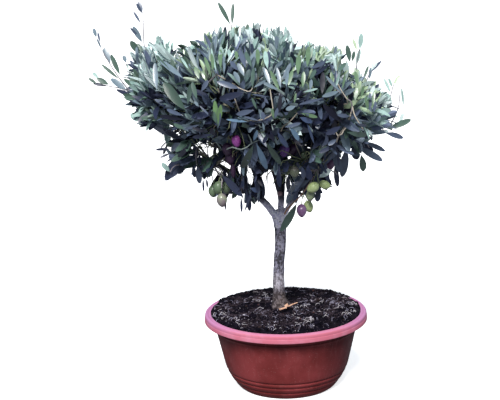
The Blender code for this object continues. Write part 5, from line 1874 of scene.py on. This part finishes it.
# %% Shoots at the edge
EDGE_SHOOTS = {  # depth in millimetres, the twig in pixels, and each leaf: its foot, its tip, its width, its family
    "tall_left": (-4, ((150, 66), (145, 52), (143.6, 36), (143.2, 22), (142.8, 12)), (
        (142, 14, 139, 1, 3.8, "slate"), (141.5, 13, 136.5, 3.5, 2.4, "slate"), (141, 24, 133.5, 11, 2.2, "slate"),
        (142.5, 43, 133, 26.5, 4.4, "middle"), (140, 39, 130.5, 27.5, 2.2, "slate"),
        (140, 54, 130.5, 41, 5.5, "green"),
        (142, 56, 137, 43, 5, "green"), (141, 65, 130, 52, 4.5, "silver"), (153, 57, 150.5, 44, 2.5, "middle"))),
    "outer_left": (-6, ((127, 88), (120, 79), (113, 69), (107, 59), (102, 50)), (
        (110.5, 64, 104, 47, 5, "middle"), (120.5, 76, 110.5, 54, 4.2, "green"), (120, 80, 101, 64, 2.8, "green"),
        (100.3, 43, 97.5, 32, 2, "slate"), (96.5, 38, 93.5, 28, 3, "middle"), (126, 63, 123.5, 55, 3.4, "middle"),
        (102, 50, 96.5, 38, 1.6, "middle"), (133, 77, 126, 63, 2.4, "sage"))),
    "low_left": (-12, ((143, 98), (133, 93), (121, 88.5), (111, 86.5), (104, 85)), (
        (109.5, 85, 96.5, 78, 4.4, "green"), (99, 80, 92.5, 72, 3.2, "sage"), (107, 86.5, 93, 83, 2.8, "dark"),
        (97, 84, 88.5, 78, 2.6, "green"), (127, 90.5, 110.5, 78.5, 5.6, "middle"), (136, 98, 116, 89.5, 4, "dark"),
        (146, 103, 129, 103, 5.4, "dark"), (142, 121, 130.5, 114, 6.5, "sage"))),
    "crest": (-4, ((234, 38), (232.5, 31), (231.3, 25)), (
        (231, 26, 218.3, 1.6, 3.6, "green"), (232, 26, 233, 2.6, 3.2, "green"))),
    "tall_right": (-6, ((352, 84), (355.5, 72), (357.5, 60), (359.5, 49)), (
        (359.7, 50, 361.5, 33, 4.4, "sage"), (357, 51, 353, 38.5, 2.6, "young"), (350, 63, 347.5, 45, 4.4, "green"),
        (356, 66, 360, 49, 3.4, "sage"), (352, 62, 354.5, 51, 3, "green"), (340, 62, 339.5, 47.5, 5, "young"))),
    "outer_right": (-6, ((362, 92), (366, 82), (370, 72)), (
        (370, 73, 381.5, 60.5, 2.4, "slate"), (371, 71, 377.5, 57.5, 4.2, "silver"),
        (363, 81, 368.5, 65.5, 2.4, "green"),
        (369, 80, 371, 67.5, 2.8, "middle"), (372, 90, 375.5, 81, 3, "young"))),
    "far_right": (0, ((385, 118), (388, 106), (391, 94), (394, 84)), (
        (391, 94, 384, 78, 2.6, "sage"), (392.5, 88, 388.5, 78, 2.6, "sage"), (393, 85, 400.5, 75, 3, "young"),
        (388, 109, 387, 93, 7, "sage"), (383, 111, 383, 97, 5, "young"))),
    "edge_right": (-10, ((391, 124), (396, 114), (399, 104), (399.6, 95)), (
        (403.5, 107, 402, 88, 2.4, "sage"), (399, 125, 403.5, 112, 3, "silver"))),
    "droop_right": (-24, ((372, 128), (380, 130), (387, 131)), (
        (387, 129.5, 411.5, 119, 5.2, "green"), (384, 132.5, 405, 137.5, 4.6, "slate"))),
    "fingers": (-60, ((342, 141), (350, 143), (357, 140), (363, 141)), (
        (363, 141, 386, 151, 4.2, "slate"), (360, 142, 374, 151, 5, "dark"), (356, 146, 383, 161, 6.2, "slate"),
        (352, 145, 358, 160, 7, "dark"), (361, 154, 364.3, 172, 6, "green"))),
    "hang_right": (-80, ((326, 138), (334, 144), (340, 144), (346, 145)), (
        (347, 146, 342, 178, 7, "slate"), (333, 151, 341, 173, 6.4, "slate"), (335, 162, 337.5, 188, 4.4, "dark"),
        (337.5, 150, 341.5, 158.5, 2, "middle"))),
    "under_olives": (-100, ((318, 172), (318, 180), (318.5, 188)), (
        (319, 188, 317, 202, 5, "dark"), (318.5, 178, 330.5, 169.8, 5, "silver"))),
    "hang_left": (-90, ((196, 136), (190, 142), (186, 148)), (
        (187, 149, 163, 181, 9.5, "dark"), (189, 158, 169.5, 178, 5.5, "dark"), (186, 138, 171, 151, 6, "slate"),
        (171, 149, 155, 149.5, 2.4, "dark"), (171, 153, 160, 157.5, 2, "dark"), (170, 172, 162, 163, 4, "sage"))),
    "hang_fine": (-110, ((196, 150), (196, 158), (197, 166)), (
        (193, 164, 195, 179, 3.6, "dark"), (197, 165, 200, 184, 5, "slate"), (203, 178, 203.5, 192, 1.8, "dark"),
        (206.5, 178, 207.5, 187.5, 1.8, "dark"), (194, 142, 196, 158, 4, "dark"))),
    "by_olives": (-132, ((214, 170), (219, 172), (223, 175)), (
        (221, 174, 242.5, 196.5, 6, "dark"), (225.5, 196, 225.3, 211, 1.6, "dark"))),
    "hang_middle": (-120, ((242, 176), (242, 186), (241, 196)), (
        (241, 196, 242, 213, 2, "dark"), (246, 186, 250.5, 212, 4.5, "dark"), (252, 190, 245, 211, 1.8, "dark"))),
}
PIXEL_WIDTH = 2.3 * MM  # a pixel at the crown, and a little for the fold
EDGE_RADII = (1.3, 1.3, 0.8)  # where the twig is joined, at its foot and at its tip
EDGE_SWING = 9  # millimetres that a leaf's tip may lie before or behind its foot
rng = random.Random(SEEDS["edge"])


def set_twig(line, mass, joint, first, last, kind):
    """A seen twig along a line, and the piece that joins it to the nearest twig of its mass."""
    start, way = spray_start(line[0], mass)
    joining = smooth_curve(start, way, line[0], line[1] - line[0], 5)
    seen_lines.append((joining, tapered(joining, joint, joint), kind))
    seen_lines.append((line, tapered(line, first, last), kind))


for depth, twig_pixels, leaves in EDGE_SHOOTS.values():
    line = finer([on_depth(pixel, depth * MM) for pixel in twig_pixels], 3)
    mass = own_mass(line[0])
    set_twig(line, mass, *EDGE_RADII, 0)
    for foot_x, foot_y, tip_x, tip_y, wide, family in leaves:
        foot = on_depth((foot_x, foot_y), depth * MM)
        tip = on_depth((tip_x, tip_y), (depth + rng.uniform(-EDGE_SWING, EDGE_SWING)) * MM)
        bed.put(foot, tip, (rng.gauss(0, 0.15), -1, 0.4), wide * PIXEL_WIDTH, rng, mass, family)
print(sum(len(leaves) for *_, leaves in EDGE_SHOOTS.values()), "leaves set at the edge")

# %% [markdown]
# ### Sprigs on the front
# The sprigs that hang over the front of the crown are what one sees first, each leaf of them plain against
# the dark inside. They are set in the same way, but their depth is that of the crown's skin: their twigs run
# just inside it and their leaves' tips stand a little out. A bright young sprig in the left half is the
# freshest green on the tree.

# %% Sprigs on the front
FRONT_SPRIGS = {  # the twig in pixels, and each leaf: its foot, its tip, its width, its family
    "big_left": (((192, 122), (188, 113), (187, 103)), (
        (187, 112, 161.5, 82, 11, "deep"), (187.5, 105, 190.5, 84, 5.5, "plain"), (197, 100, 192, 82, 5, "green"),
        (184, 116, 166, 109.5, 4.5, "slate"), (186, 120, 158, 116, 5, "shade"), (199, 107, 194.5, 101.5, 3, "middle"),
        (213, 119, 199.5, 105.5, 2, "slate"))),
    "high_left": (((188, 84), (185, 78), (183, 70)), (
        (184, 79, 159, 59, 7, "middle"), (172, 72, 154, 55, 4, "green"), (157, 92, 154, 62, 6, "middle"),
        (189, 70, 180.5, 56.5, 2.6, "sage"), (199.5, 80, 194.5, 66, 5, "old_young"),
        (205, 80, 202, 70, 3.2, "old_young"))),
    "crest_left": (((212, 84), (214, 76), (215, 66)), (
        (217, 74, 210, 47, 3, "sage"), (211, 78, 205, 55, 4, "old_young"), (213, 72, 212, 52, 3.6, "old_young"),
        (221, 70, 219, 46, 5, "old_young"), (224, 75, 224.5, 54, 3.5, "middle"), (201, 92, 208, 80, 5, "slate"))),
    "fresh": (((217, 134), (217.5, 127), (217, 118)), (
        (217.5, 127, 214.5, 101, 5.6, "fresh"), (218, 127, 221, 105, 5.2, "fresh"),
        (216.5, 124, 212, 110, 5, "green"),
        (218, 127, 217.6, 108, 4.6, "old_young"),
        (217.5, 130, 219.5, 113, 4.6, "slate"))),
    "pale_fork": (((237, 87), (248, 91.5), (252, 89), (253, 84)), (
        (241, 89, 216, 81.5, 6, "slate"), (245, 92.5, 218.5, 99, 8, "dark"), (252.5, 89, 253, 67, 5, "plain"),
        (244.5, 77, 238, 62.5, 5.5, "middle"), (240, 84, 234.5, 70.5, 5.5, "middle"),
        (253, 88, 266, 80, 3, "middle"))),
    "crest_middle": (((250, 76), (248, 70), (247, 62)), (
        (246, 69, 239, 49, 5, "slate"), (239, 71, 230, 61, 5, "slate"), (252, 68, 245, 51, 5, "plain"),
        (258, 66, 257.5, 47, 5, "old_young"), (237, 61, 236, 50, 4, "old_young"), (229, 58, 229, 49, 4, "sage"))),
    "front_low": (((262, 118), (258, 111), (254, 106)), (
        (254.5, 110, 236, 114.5, 6, "slate"), (249, 122, 226, 119.5, 3, "steel"), (257, 110, 252, 98, 3, "green"),
        (262, 109, 264.5, 102, 3.6, "slate"), (264, 121, 262.5, 112, 4.4, "slate"),
        (260, 121, 244, 116.5, 2.4, "slate"),
        (262.5, 122, 264.5, 131, 2.4, "middle"), (270, 97, 252, 94.5, 1.8, "slate"))),
    "young_middle": (((273, 108), (271, 96), (270, 88)), (
        (268, 70, 264, 49, 5.5, "sage"), (270.5, 86, 264, 67, 4.5, "middle"), (280, 92, 270, 70, 4.5, "old_young"),
        (281, 90, 277, 67, 4, "middle"), (279, 90, 262, 82, 4, "middle"), (275, 119, 277.5, 108, 4, "slate"),
        (273.5, 119, 272, 108, 3, "old_young"), (281, 92, 278.5, 113, 5, "shade"))),
    "young_right": (((281, 93), (285, 90), (286, 86)), (
        (286, 88, 288, 67, 4, "middle"), (288, 87, 292.5, 69, 4.5, "old_young"), (298, 76, 298.5, 53, 6, "old_young"),
        (292.5, 68, 291.5, 55, 4, "green"), (302.5, 89, 304, 71, 4.5, "old_young"), (310, 91, 311.5, 79, 4, "middle"),
        (309, 80, 316.5, 69, 4.5, "plain"), (307, 68, 309, 45, 5.5, "old_young"))),
    "dark_right": (((313, 82), (311, 75), (310, 70)), (
        (310, 69, 327, 60.5, 5, "slate"), (313, 77, 329, 64, 4, "dark"), (322, 96, 323, 71, 6, "shade"),
        (296, 106, 286, 109.5, 5, "middle"), (294, 104, 296, 93, 2.5, "old_young"),
        (302, 92.5, 318, 88.5, 2.6, "sage"),
        (324, 98, 300, 104.5, 3.2, "slate"))),
    "fork_right": (((347, 99), (341, 90), (338, 84)), (
        (342, 93, 326, 76, 3.5, "middle"), (332.5, 82, 331, 72, 3.5, "old_young"), (342, 90, 346, 72, 3, "old_young"),
        (339, 73, 345, 61.5, 5.5, "green"), (340, 91, 323, 96.5, 5, "middle"), (324, 96, 334, 85, 5, "green"),
        (358, 87, 355.5, 71, 5, "old_young"), (355, 102, 357, 87, 4.5, "old_young"),
        (361, 98, 363.5, 86, 4, "old_young"))),
    "tips_right": (((370, 122), (370, 115), (370, 108)), (
        (368, 111, 366, 96, 4, "old_young"), (370, 112, 370, 92, 4, "slate"), (372, 110, 375, 90, 3.4, "old_young"),
        (374, 113, 375.5, 101, 4, "slate"), (350.5, 116.5, 338, 115, 4.5, "slate"),
        (344, 124, 324, 106, 7, "shade"))),
    "waist_right": (((342, 134), (344, 130), (346, 128)), (
        (342, 126, 326, 134.5, 6.5, "dark"), (346, 132, 369, 136, 6.5, "green"), (356, 123.5, 368, 127, 4, "slate"),
        (337, 139, 328, 145, 5, "slate"), (333, 146.5, 319, 153, 4.5, "dark"), (314.5, 145, 308, 125, 3.5, "blue"),
        (300, 113, 318, 117.5, 4, "old_young"), (299, 117, 312.5, 122.5, 5.5, "blue"))),
    "hang_centre": (((266, 134), (258, 141), (252, 143)), (
        (254, 144, 241, 171, 8, "deep"), (256, 142.5, 267.5, 171, 6.8, "steel"), (265, 141, 282, 166, 6.5, "deep"),
        (253.5, 141, 257, 131, 4.5, "steel"), (267.5, 133, 263.5, 144, 4.5, "dark"),
        (270, 130, 274, 143, 3, "dark"))),
    "hang_right_centre": (((290, 118), (284, 124), (280, 129)), (
        (277, 131, 288, 149, 6, "blue"), (284, 127.5, 301, 123, 4, "slate"), (289, 126, 300.5, 141, 6, "steel"))),
    "left_waist": (((204, 122), (210, 130), (216, 133)), (
        (213, 134, 190.5, 138.5, 5, "dark"), (206, 132, 192, 127.5, 4, "shade"),
        (200, 124.5, 184.5, 129.5, 3.2, "slate"),
        (185, 129, 173.5, 124, 4.5, "green"), (190, 143, 177.5, 160.5, 6, "dark"))),
    "hang_low": (((300, 150), (304, 156), (306, 160)), (
        (301.5, 166, 304.5, 180, 6, "blue"), (308, 164, 309.5, 183, 8, "blue"), (292, 180, 294.3, 199, 8, "blue"),
        (279.5, 164, 277.5, 191, 6, "blue"))),
    "hang_low_left": (((248, 168), (246, 174), (243, 178)), (
        (244, 176, 241.5, 192, 5, "blue"), (250, 188, 260, 191.5, 6, "blue"))),
}
SEEN_SPRIGS = ("pale_fork", "young_middle", "fork_right", "waist_right")  # the others' twigs are hidden
SKIN_TWIG, SKIN_FOOT, SKIN_TIP = -6 * MM, 0, 3 * MM  # how far twigs, leaves' feet and tips stand out of the skin
FRONT_SHARES = (0.35, 0.65, 0.9)  # shares of a front leaf's length that are kept clear
FRONT_RADII = (1.1, 1.0, 0.7)
FRONT_SLIM = 0.68  # the leaves stand nearer than the crown's middle, and their fold opens towards the eye
FRONT_FROM, FRONT_TO, FRONT_STEP = -300 * MM, -100 * MM, 3 * MM  # depths that are tried


def on_skin(pixel, out):
    """The point of a pixel's ray, from the front, that is a distance out of the crown's skin."""
    y = FRONT_FROM
    while y < FRONT_TO and outside_crown(on_depth(pixel, y)) > out:
        y += FRONT_STEP
    return on_depth(pixel, y)


front_middles = []
for name, (twig_pixels, leaves) in FRONT_SPRIGS.items():
    line = finer([on_skin(pixel, SKIN_TWIG) for pixel in twig_pixels], 3)
    mass = own_mass(line[0])
    if name in SEEN_SPRIGS:
        set_twig(line, mass, *FRONT_RADII, 2)
    for foot_x, foot_y, tip_x, tip_y, wide, family in leaves:
        foot, tip = on_skin((foot_x, foot_y), SKIN_FOOT), on_skin((tip_x, tip_y), SKIN_TIP)
        wide *= FRONT_SLIM
        bed.put(foot, tip, (rng.gauss(0, 0.25), -1, 0.0), wide * PIXEL_WIDTH, rng, mass, family)
        front_middles += [(foot.lerp(tip, share), wide / 2) for share in FRONT_SHARES]
print(sum(len(leaves) for _, leaves in FRONT_SPRIGS.values()), "leaves set on the front")

# %% [markdown]
# ## Open places
# Looking from the front, light comes through the lower crown in a few places: between the boughs above the
# fork, and in the lacy edge on the left. A leaf that falls in one of them is left out. So is a leaf that
# would hide an olive or one of the twigs above from the front, that would stand far outside the outline, or
# that would cut through the wood.

# %% Leaving leaves out
OPEN_PLACES = (  # middle of an ellipse in the frame, and its half width and half height, in pixels
    (270, 190, 7, 20), (285, 181, 3.5, 10), (289, 156, 3, 5), (310, 148, 3, 3), (228, 168, 3, 6),
    (239, 164, 3, 5), (250, 174, 4, 9), (208, 150, 12, 6), (199, 146, 5, 5), (220, 167, 8, 5),
    (178, 132, 4, 2.5), (170, 126, 2.5, 2), (344, 156, 6, 5), (331, 170, 3, 13), (186, 131, 2, 2.5),
    (344, 183, 4, 5), (377, 141, 6, 4), (322, 199, 4, 5), (241, 199, 2, 5), (161, 143, 3, 3), (343, 63, 3, 4),
    (168, 166, 3, 3), (189, 170, 3, 5), (230, 198, 2, 5), (352, 70, 3, 3), (294, 26, 2.5, 7), (299, 42, 2.5, 9),
    (184, 43, 5, 3.5), (199, 37, 4, 3), (154, 137, 3, 3), (384, 137, 6, 3), (276, 197, 3.5, 12), (281, 194, 3, 6),
)
LEAF_OVERHANG = 16 * MM
LEAF_SPILL = 3.5  # pixels that a leaf may stand out of the front outline
WOOD_MARGIN = 2.2 * MM
OLIVE_VIEW = 7.5  # radius in pixels of the clear view on each olive
TWIG_VIEW = 2.4  # the same along each twig that is seen
LEAF_SAMPLES = (0.2, 0.38, 0.58, 0.78, 1.0)  # shares of a leaf's length that are looked at


def in_ellipse(at, place):
    """Which places in the frame lie in an ellipse, given by its middle, half width and half height."""
    x, y, half_x, half_y = place
    return ((at[..., 0] - x) / half_x) ** 2 + ((at[..., 1] - y) / half_y) ** 2 < 1


def touches_wood(points):
    """For each leaf, whether any of its sample points is inside the wood. points is leaves x samples x 3."""
    hit = np.zeros(len(points), dtype=bool)
    limbs = [(line, tapered(line, first, last)) for line, first, last in [*boughs.values(), *side_limbs.values()]]
    for line, radii in [(trunk_line, trunk_radii), *limbs]:
        for a, b, first, last in zip(line, line[1:], radii, radii[1:]):
            a, b = np.array(a), np.array(b)
            share = np.clip(((points - a) @ (b - a)) / ((b - a) @ (b - a)), 0, 1)
            gap = np.linalg.norm(points - (a + share[..., None] * (b - a)), axis=-1)
            hit |= (gap < max(first, last) * MM + WOOD_MARGIN).any(axis=1)
    return hit


samples = [np.argmin(np.abs(leaf_along - share) + np.abs(leaf_across)) for share in LEAF_SAMPLES]
along_leaf = placed_leaves(bed.rows)[:, samples]
in_frame = pixels_of(along_leaf).reshape(len(bed.rows), len(LEAF_SAMPLES), 2)
open_view = np.any([in_ellipse(in_frame, place).any(axis=1) for place in OPEN_PLACES], axis=0)
outside = np.array([outside_crown(Vector(points[-1])) > LEAF_OVERHANG for points in along_leaf])
outside |= (inside_front(along_leaf).reshape(len(bed.rows), -1) < -LEAF_SPILL).any(axis=1)
clear = [(vector_mm(middle), OLIVE_VIEW) for _, fruit in CLUSTERS.values() for middle, *_ in fruit]
clear += front_middles
clear += [(point, TWIG_VIEW) for line, _, _ in seen_lines[: len(SEEN_TWIGS)] for point in line[2:]]
for place, radius in clear:
    if place.y < 0:
        away = np.linalg.norm(in_frame - pixels_of(place), axis=-1)
        open_view |= ((away < radius) & (along_leaf[..., 1] < place.y)).any(axis=1)
free = np.array(bed.free)
open_view &= ~free
outside &= ~free
kept = ~(touches_wood(along_leaf) | open_view | outside)
print(kept.sum(), "leaves kept;", open_view.sum(), "in open places,", outside.sum(), "outside")

# %% [markdown]
# ### Hollows and tufts
# The crown's front isn't even. It has hollows where the light doesn't reach and the leaves look darker than
# their height says, and tufts that stand out and catch the light. Leaves that fall in one of these places go
# one family darker or lighter, by the table of neighbours, and in a few more places half of them are young.

# %% Hollows and tufts
TONE_PLACES = (  # middle of an ellipse in the frame, its half width and half height, share that goes a step
    (187, 62, 14, 11, -0.5), (222, 86, 14, 15, -0.9), (250, 60, 14, 13, -1.0), (238, 48, 8, 9, -0.6),
    (334, 62, 8, 12, 0.5), (180, 80, 10, 7, -0.8), (250, 82, 8, 8, -0.6), (264, 176, 14, 8, -0.5),
    (152, 44, 8, 6, -0.6), (278, 100, 14, 13, -1.0), (292, 86, 10, 11, -0.9), (308, 70, 11, 11, -0.9),
    (322, 100, 12, 36, -1.0), (334, 110, 10, 15, -0.8), (320, 121, 11, 15, -0.9), (166, 164, 8, 8, -0.6),
    (250, 178, 34, 10, -0.8), (152, 66, 14, 22, 1.0), (164, 56, 10, 13, 0.6), (224, 44, 12, 17, 0.9),
    (271, 75, 14, 12, 0.9), (222, 30, 6, 7, 0.8), (256, 30, 30, 7, 0.8), (160, 84, 12, 12, 0.6),
    (272, 82, 10, 6, 0.5), (240, 104, 30, 14, -0.7), (264, 102, 12, 10, -0.8), (236, 122, 22, 8, 0.4),
    (334, 92, 8, 8, -0.7), (204, 104, 12, 16, -0.5), (170, 60, 14, 8, 0.6), (254, 152, 20, 14, 0.4),
    (376, 128, 12, 20, 0.8), (208, 46, 7, 7, -0.6), (222, 136, 10, 11, 0.9), (290, 118, 20, 7, 0.5),
    (354, 116, 10, 20, 0.7), (376, 142, 14, 20, 0.9), (334, 170, 10, 13, 0.7), (278, 194, 8, 11, 0.6),
    (152, 128, 8, 8, 0.7), (306, 178, 10, 8, 0.7),
)
YOUNG_PLACES = (  # middle of an ellipse in the frame, its half width and half height
    (264, 60, 4, 10), (290, 78, 5, 12), (299, 64, 4, 13), (308, 54, 6, 11), (312, 80, 5, 7), (329, 54, 12, 8),
    (342, 66, 5, 8), (353, 90, 9, 20), (371, 100, 11, 18), (388, 96, 6, 14), (196, 72, 4, 8), (209, 70, 7, 10),
    (238, 56, 4, 6), (248, 60, 4, 8), (241, 67, 4, 5),
)
YOUNG_SHARE = 0.5
YOUNG_LENGTH, YOUNG_WIDTH = 0.92, 0.74  # young leaves are smaller
LEAF_MIDDLE = 2  # which of the leaf's samples is taken as its middle

rng = random.Random(SEEDS["tones"])
middles = in_frame[:, LEAF_MIDDLE]
tones = sum(share * in_ellipse(middles, place) for *place, share in TONE_PLACES)
may_be_young = np.any([in_ellipse(middles, place) for place in YOUNG_PLACES], axis=0)
for i, row in enumerate(bed.rows):
    if row[0][1] >= 0 or free[i]:
        continue
    for _ in range(int(abs(tones[i]) + rng.random())):
        bed.families[i] = NEXT_FAMILY[bed.families[i]][int(tones[i] >= 0)]
    if may_be_young[i] and rng.random() < YOUNG_SHARE and bed.families[i] not in ("dark", "shade"):
        bed.families[i] = "young"
    if bed.families[i] == "young":
        bed.rows[i] = (*row[:3], row[3] * YOUNG_LENGTH, row[4] * YOUNG_WIDTH, *row[5:])
leaf_points = placed_leaves(bed.rows)
print(len(TONE_PLACES), "hollows and tufts,", bed.families.count("young"), "young leaves")

# %% [markdown]
# ## The leaves as pieces
# The leaves are joined by parts of the crown, so that each piece stays light and stands for the nodes of its
# own masses.

# %% The leaves as pieces
LEAF_PIECES = {  # piece: how the names of its masses start
    "low": ("low",), "middle_left": ("middle_left", "middle_front_left"),
    "middle_right": ("middle_right", "middle_front_right"), "middle_back": ("middle_back",),
    "top": ("top",), "heart": ("heart",),
}
LEAF_SHARP = 26  # degrees


family_order = list(FAMILIES)
for part, starts in LEAF_PIECES.items():
    chosen = [i for i in range(len(bed.rows)) if kept[i] and bed.masses[i].startswith(starts)]
    kinds = [2 * family_order.index(bed.families[i]) + leaf_kinds for i in chosen]
    mesh = joined_mesh(f"leaves_{part}", leaf_points[chosen], leaf_triangles, kinds, LEAF_SHARP)
    dress(mesh, f"leaves_{part}", leaf_finishes, foliage(starts))

# %% [markdown]
# ## The twigs as pieces
# Wood changes with age: stems are grey like the boughs, twigs of the first order are tan, and the young ends
# of the sprays are green. The stems and first twigs, the sprays, the seen twigs and the olives' stalks each go
# into one curve object and become one mesh, with the five tones of wood as its materials.

# %% Twig finishes and pieces
TWIG_TONES = {
    "twig_grey": ((0.16, 0.15, 0.17), (0.30, 0.27, 0.29)),
    "twig_green": ((0.20, 0.25, 0.14), (0.32, 0.36, 0.22)),
    "twig_tan": ((0.39, 0.34, 0.28), (0.57, 0.51, 0.43)),
    "twig_rust": ((0.42, 0.24, 0.17), (0.56, 0.37, 0.28)),
    "twig_pale": ((0.34, 0.40, 0.37), (0.50, 0.57, 0.52)),
}
SMOOTHER = {"twig_green": 0.6, "twig_pale": 0.6}  # roughness of the young ones
TWIG_KINDS = {"stem": 0, "outer": 2, "inner": 0, "shoot": 2, "hanging": 0}
SPRAY_KINDS = {"outer": 1, "inner": 2, "deep": 0}

twig_finishes = [
    dry_finish(name, *tones, roughness=SMOOTHER.get(name, 0.85)) for name, tones in TWIG_TONES.items()
]
twig_lines = [(twig.points, twig.radii, TWIG_KINDS[twig.kind]) for twig in [*stems.values(), *first_twigs]]
spray_lines = [(spray.points, spray.radii, SPRAY_KINDS[spray.kind]) for spray in sprays]
for name, lines, tiers in (
    ("twigs", twig_lines, TIERS), ("sprays", spray_lines, TIERS),
    ("seen_twigs", seen_lines, TIERS), ("olive_stalks", fruit_lines, FRUITING),
):
    dress(tubes(name, lines, 1), name, twig_finishes, foliage(tuple(tiers)))
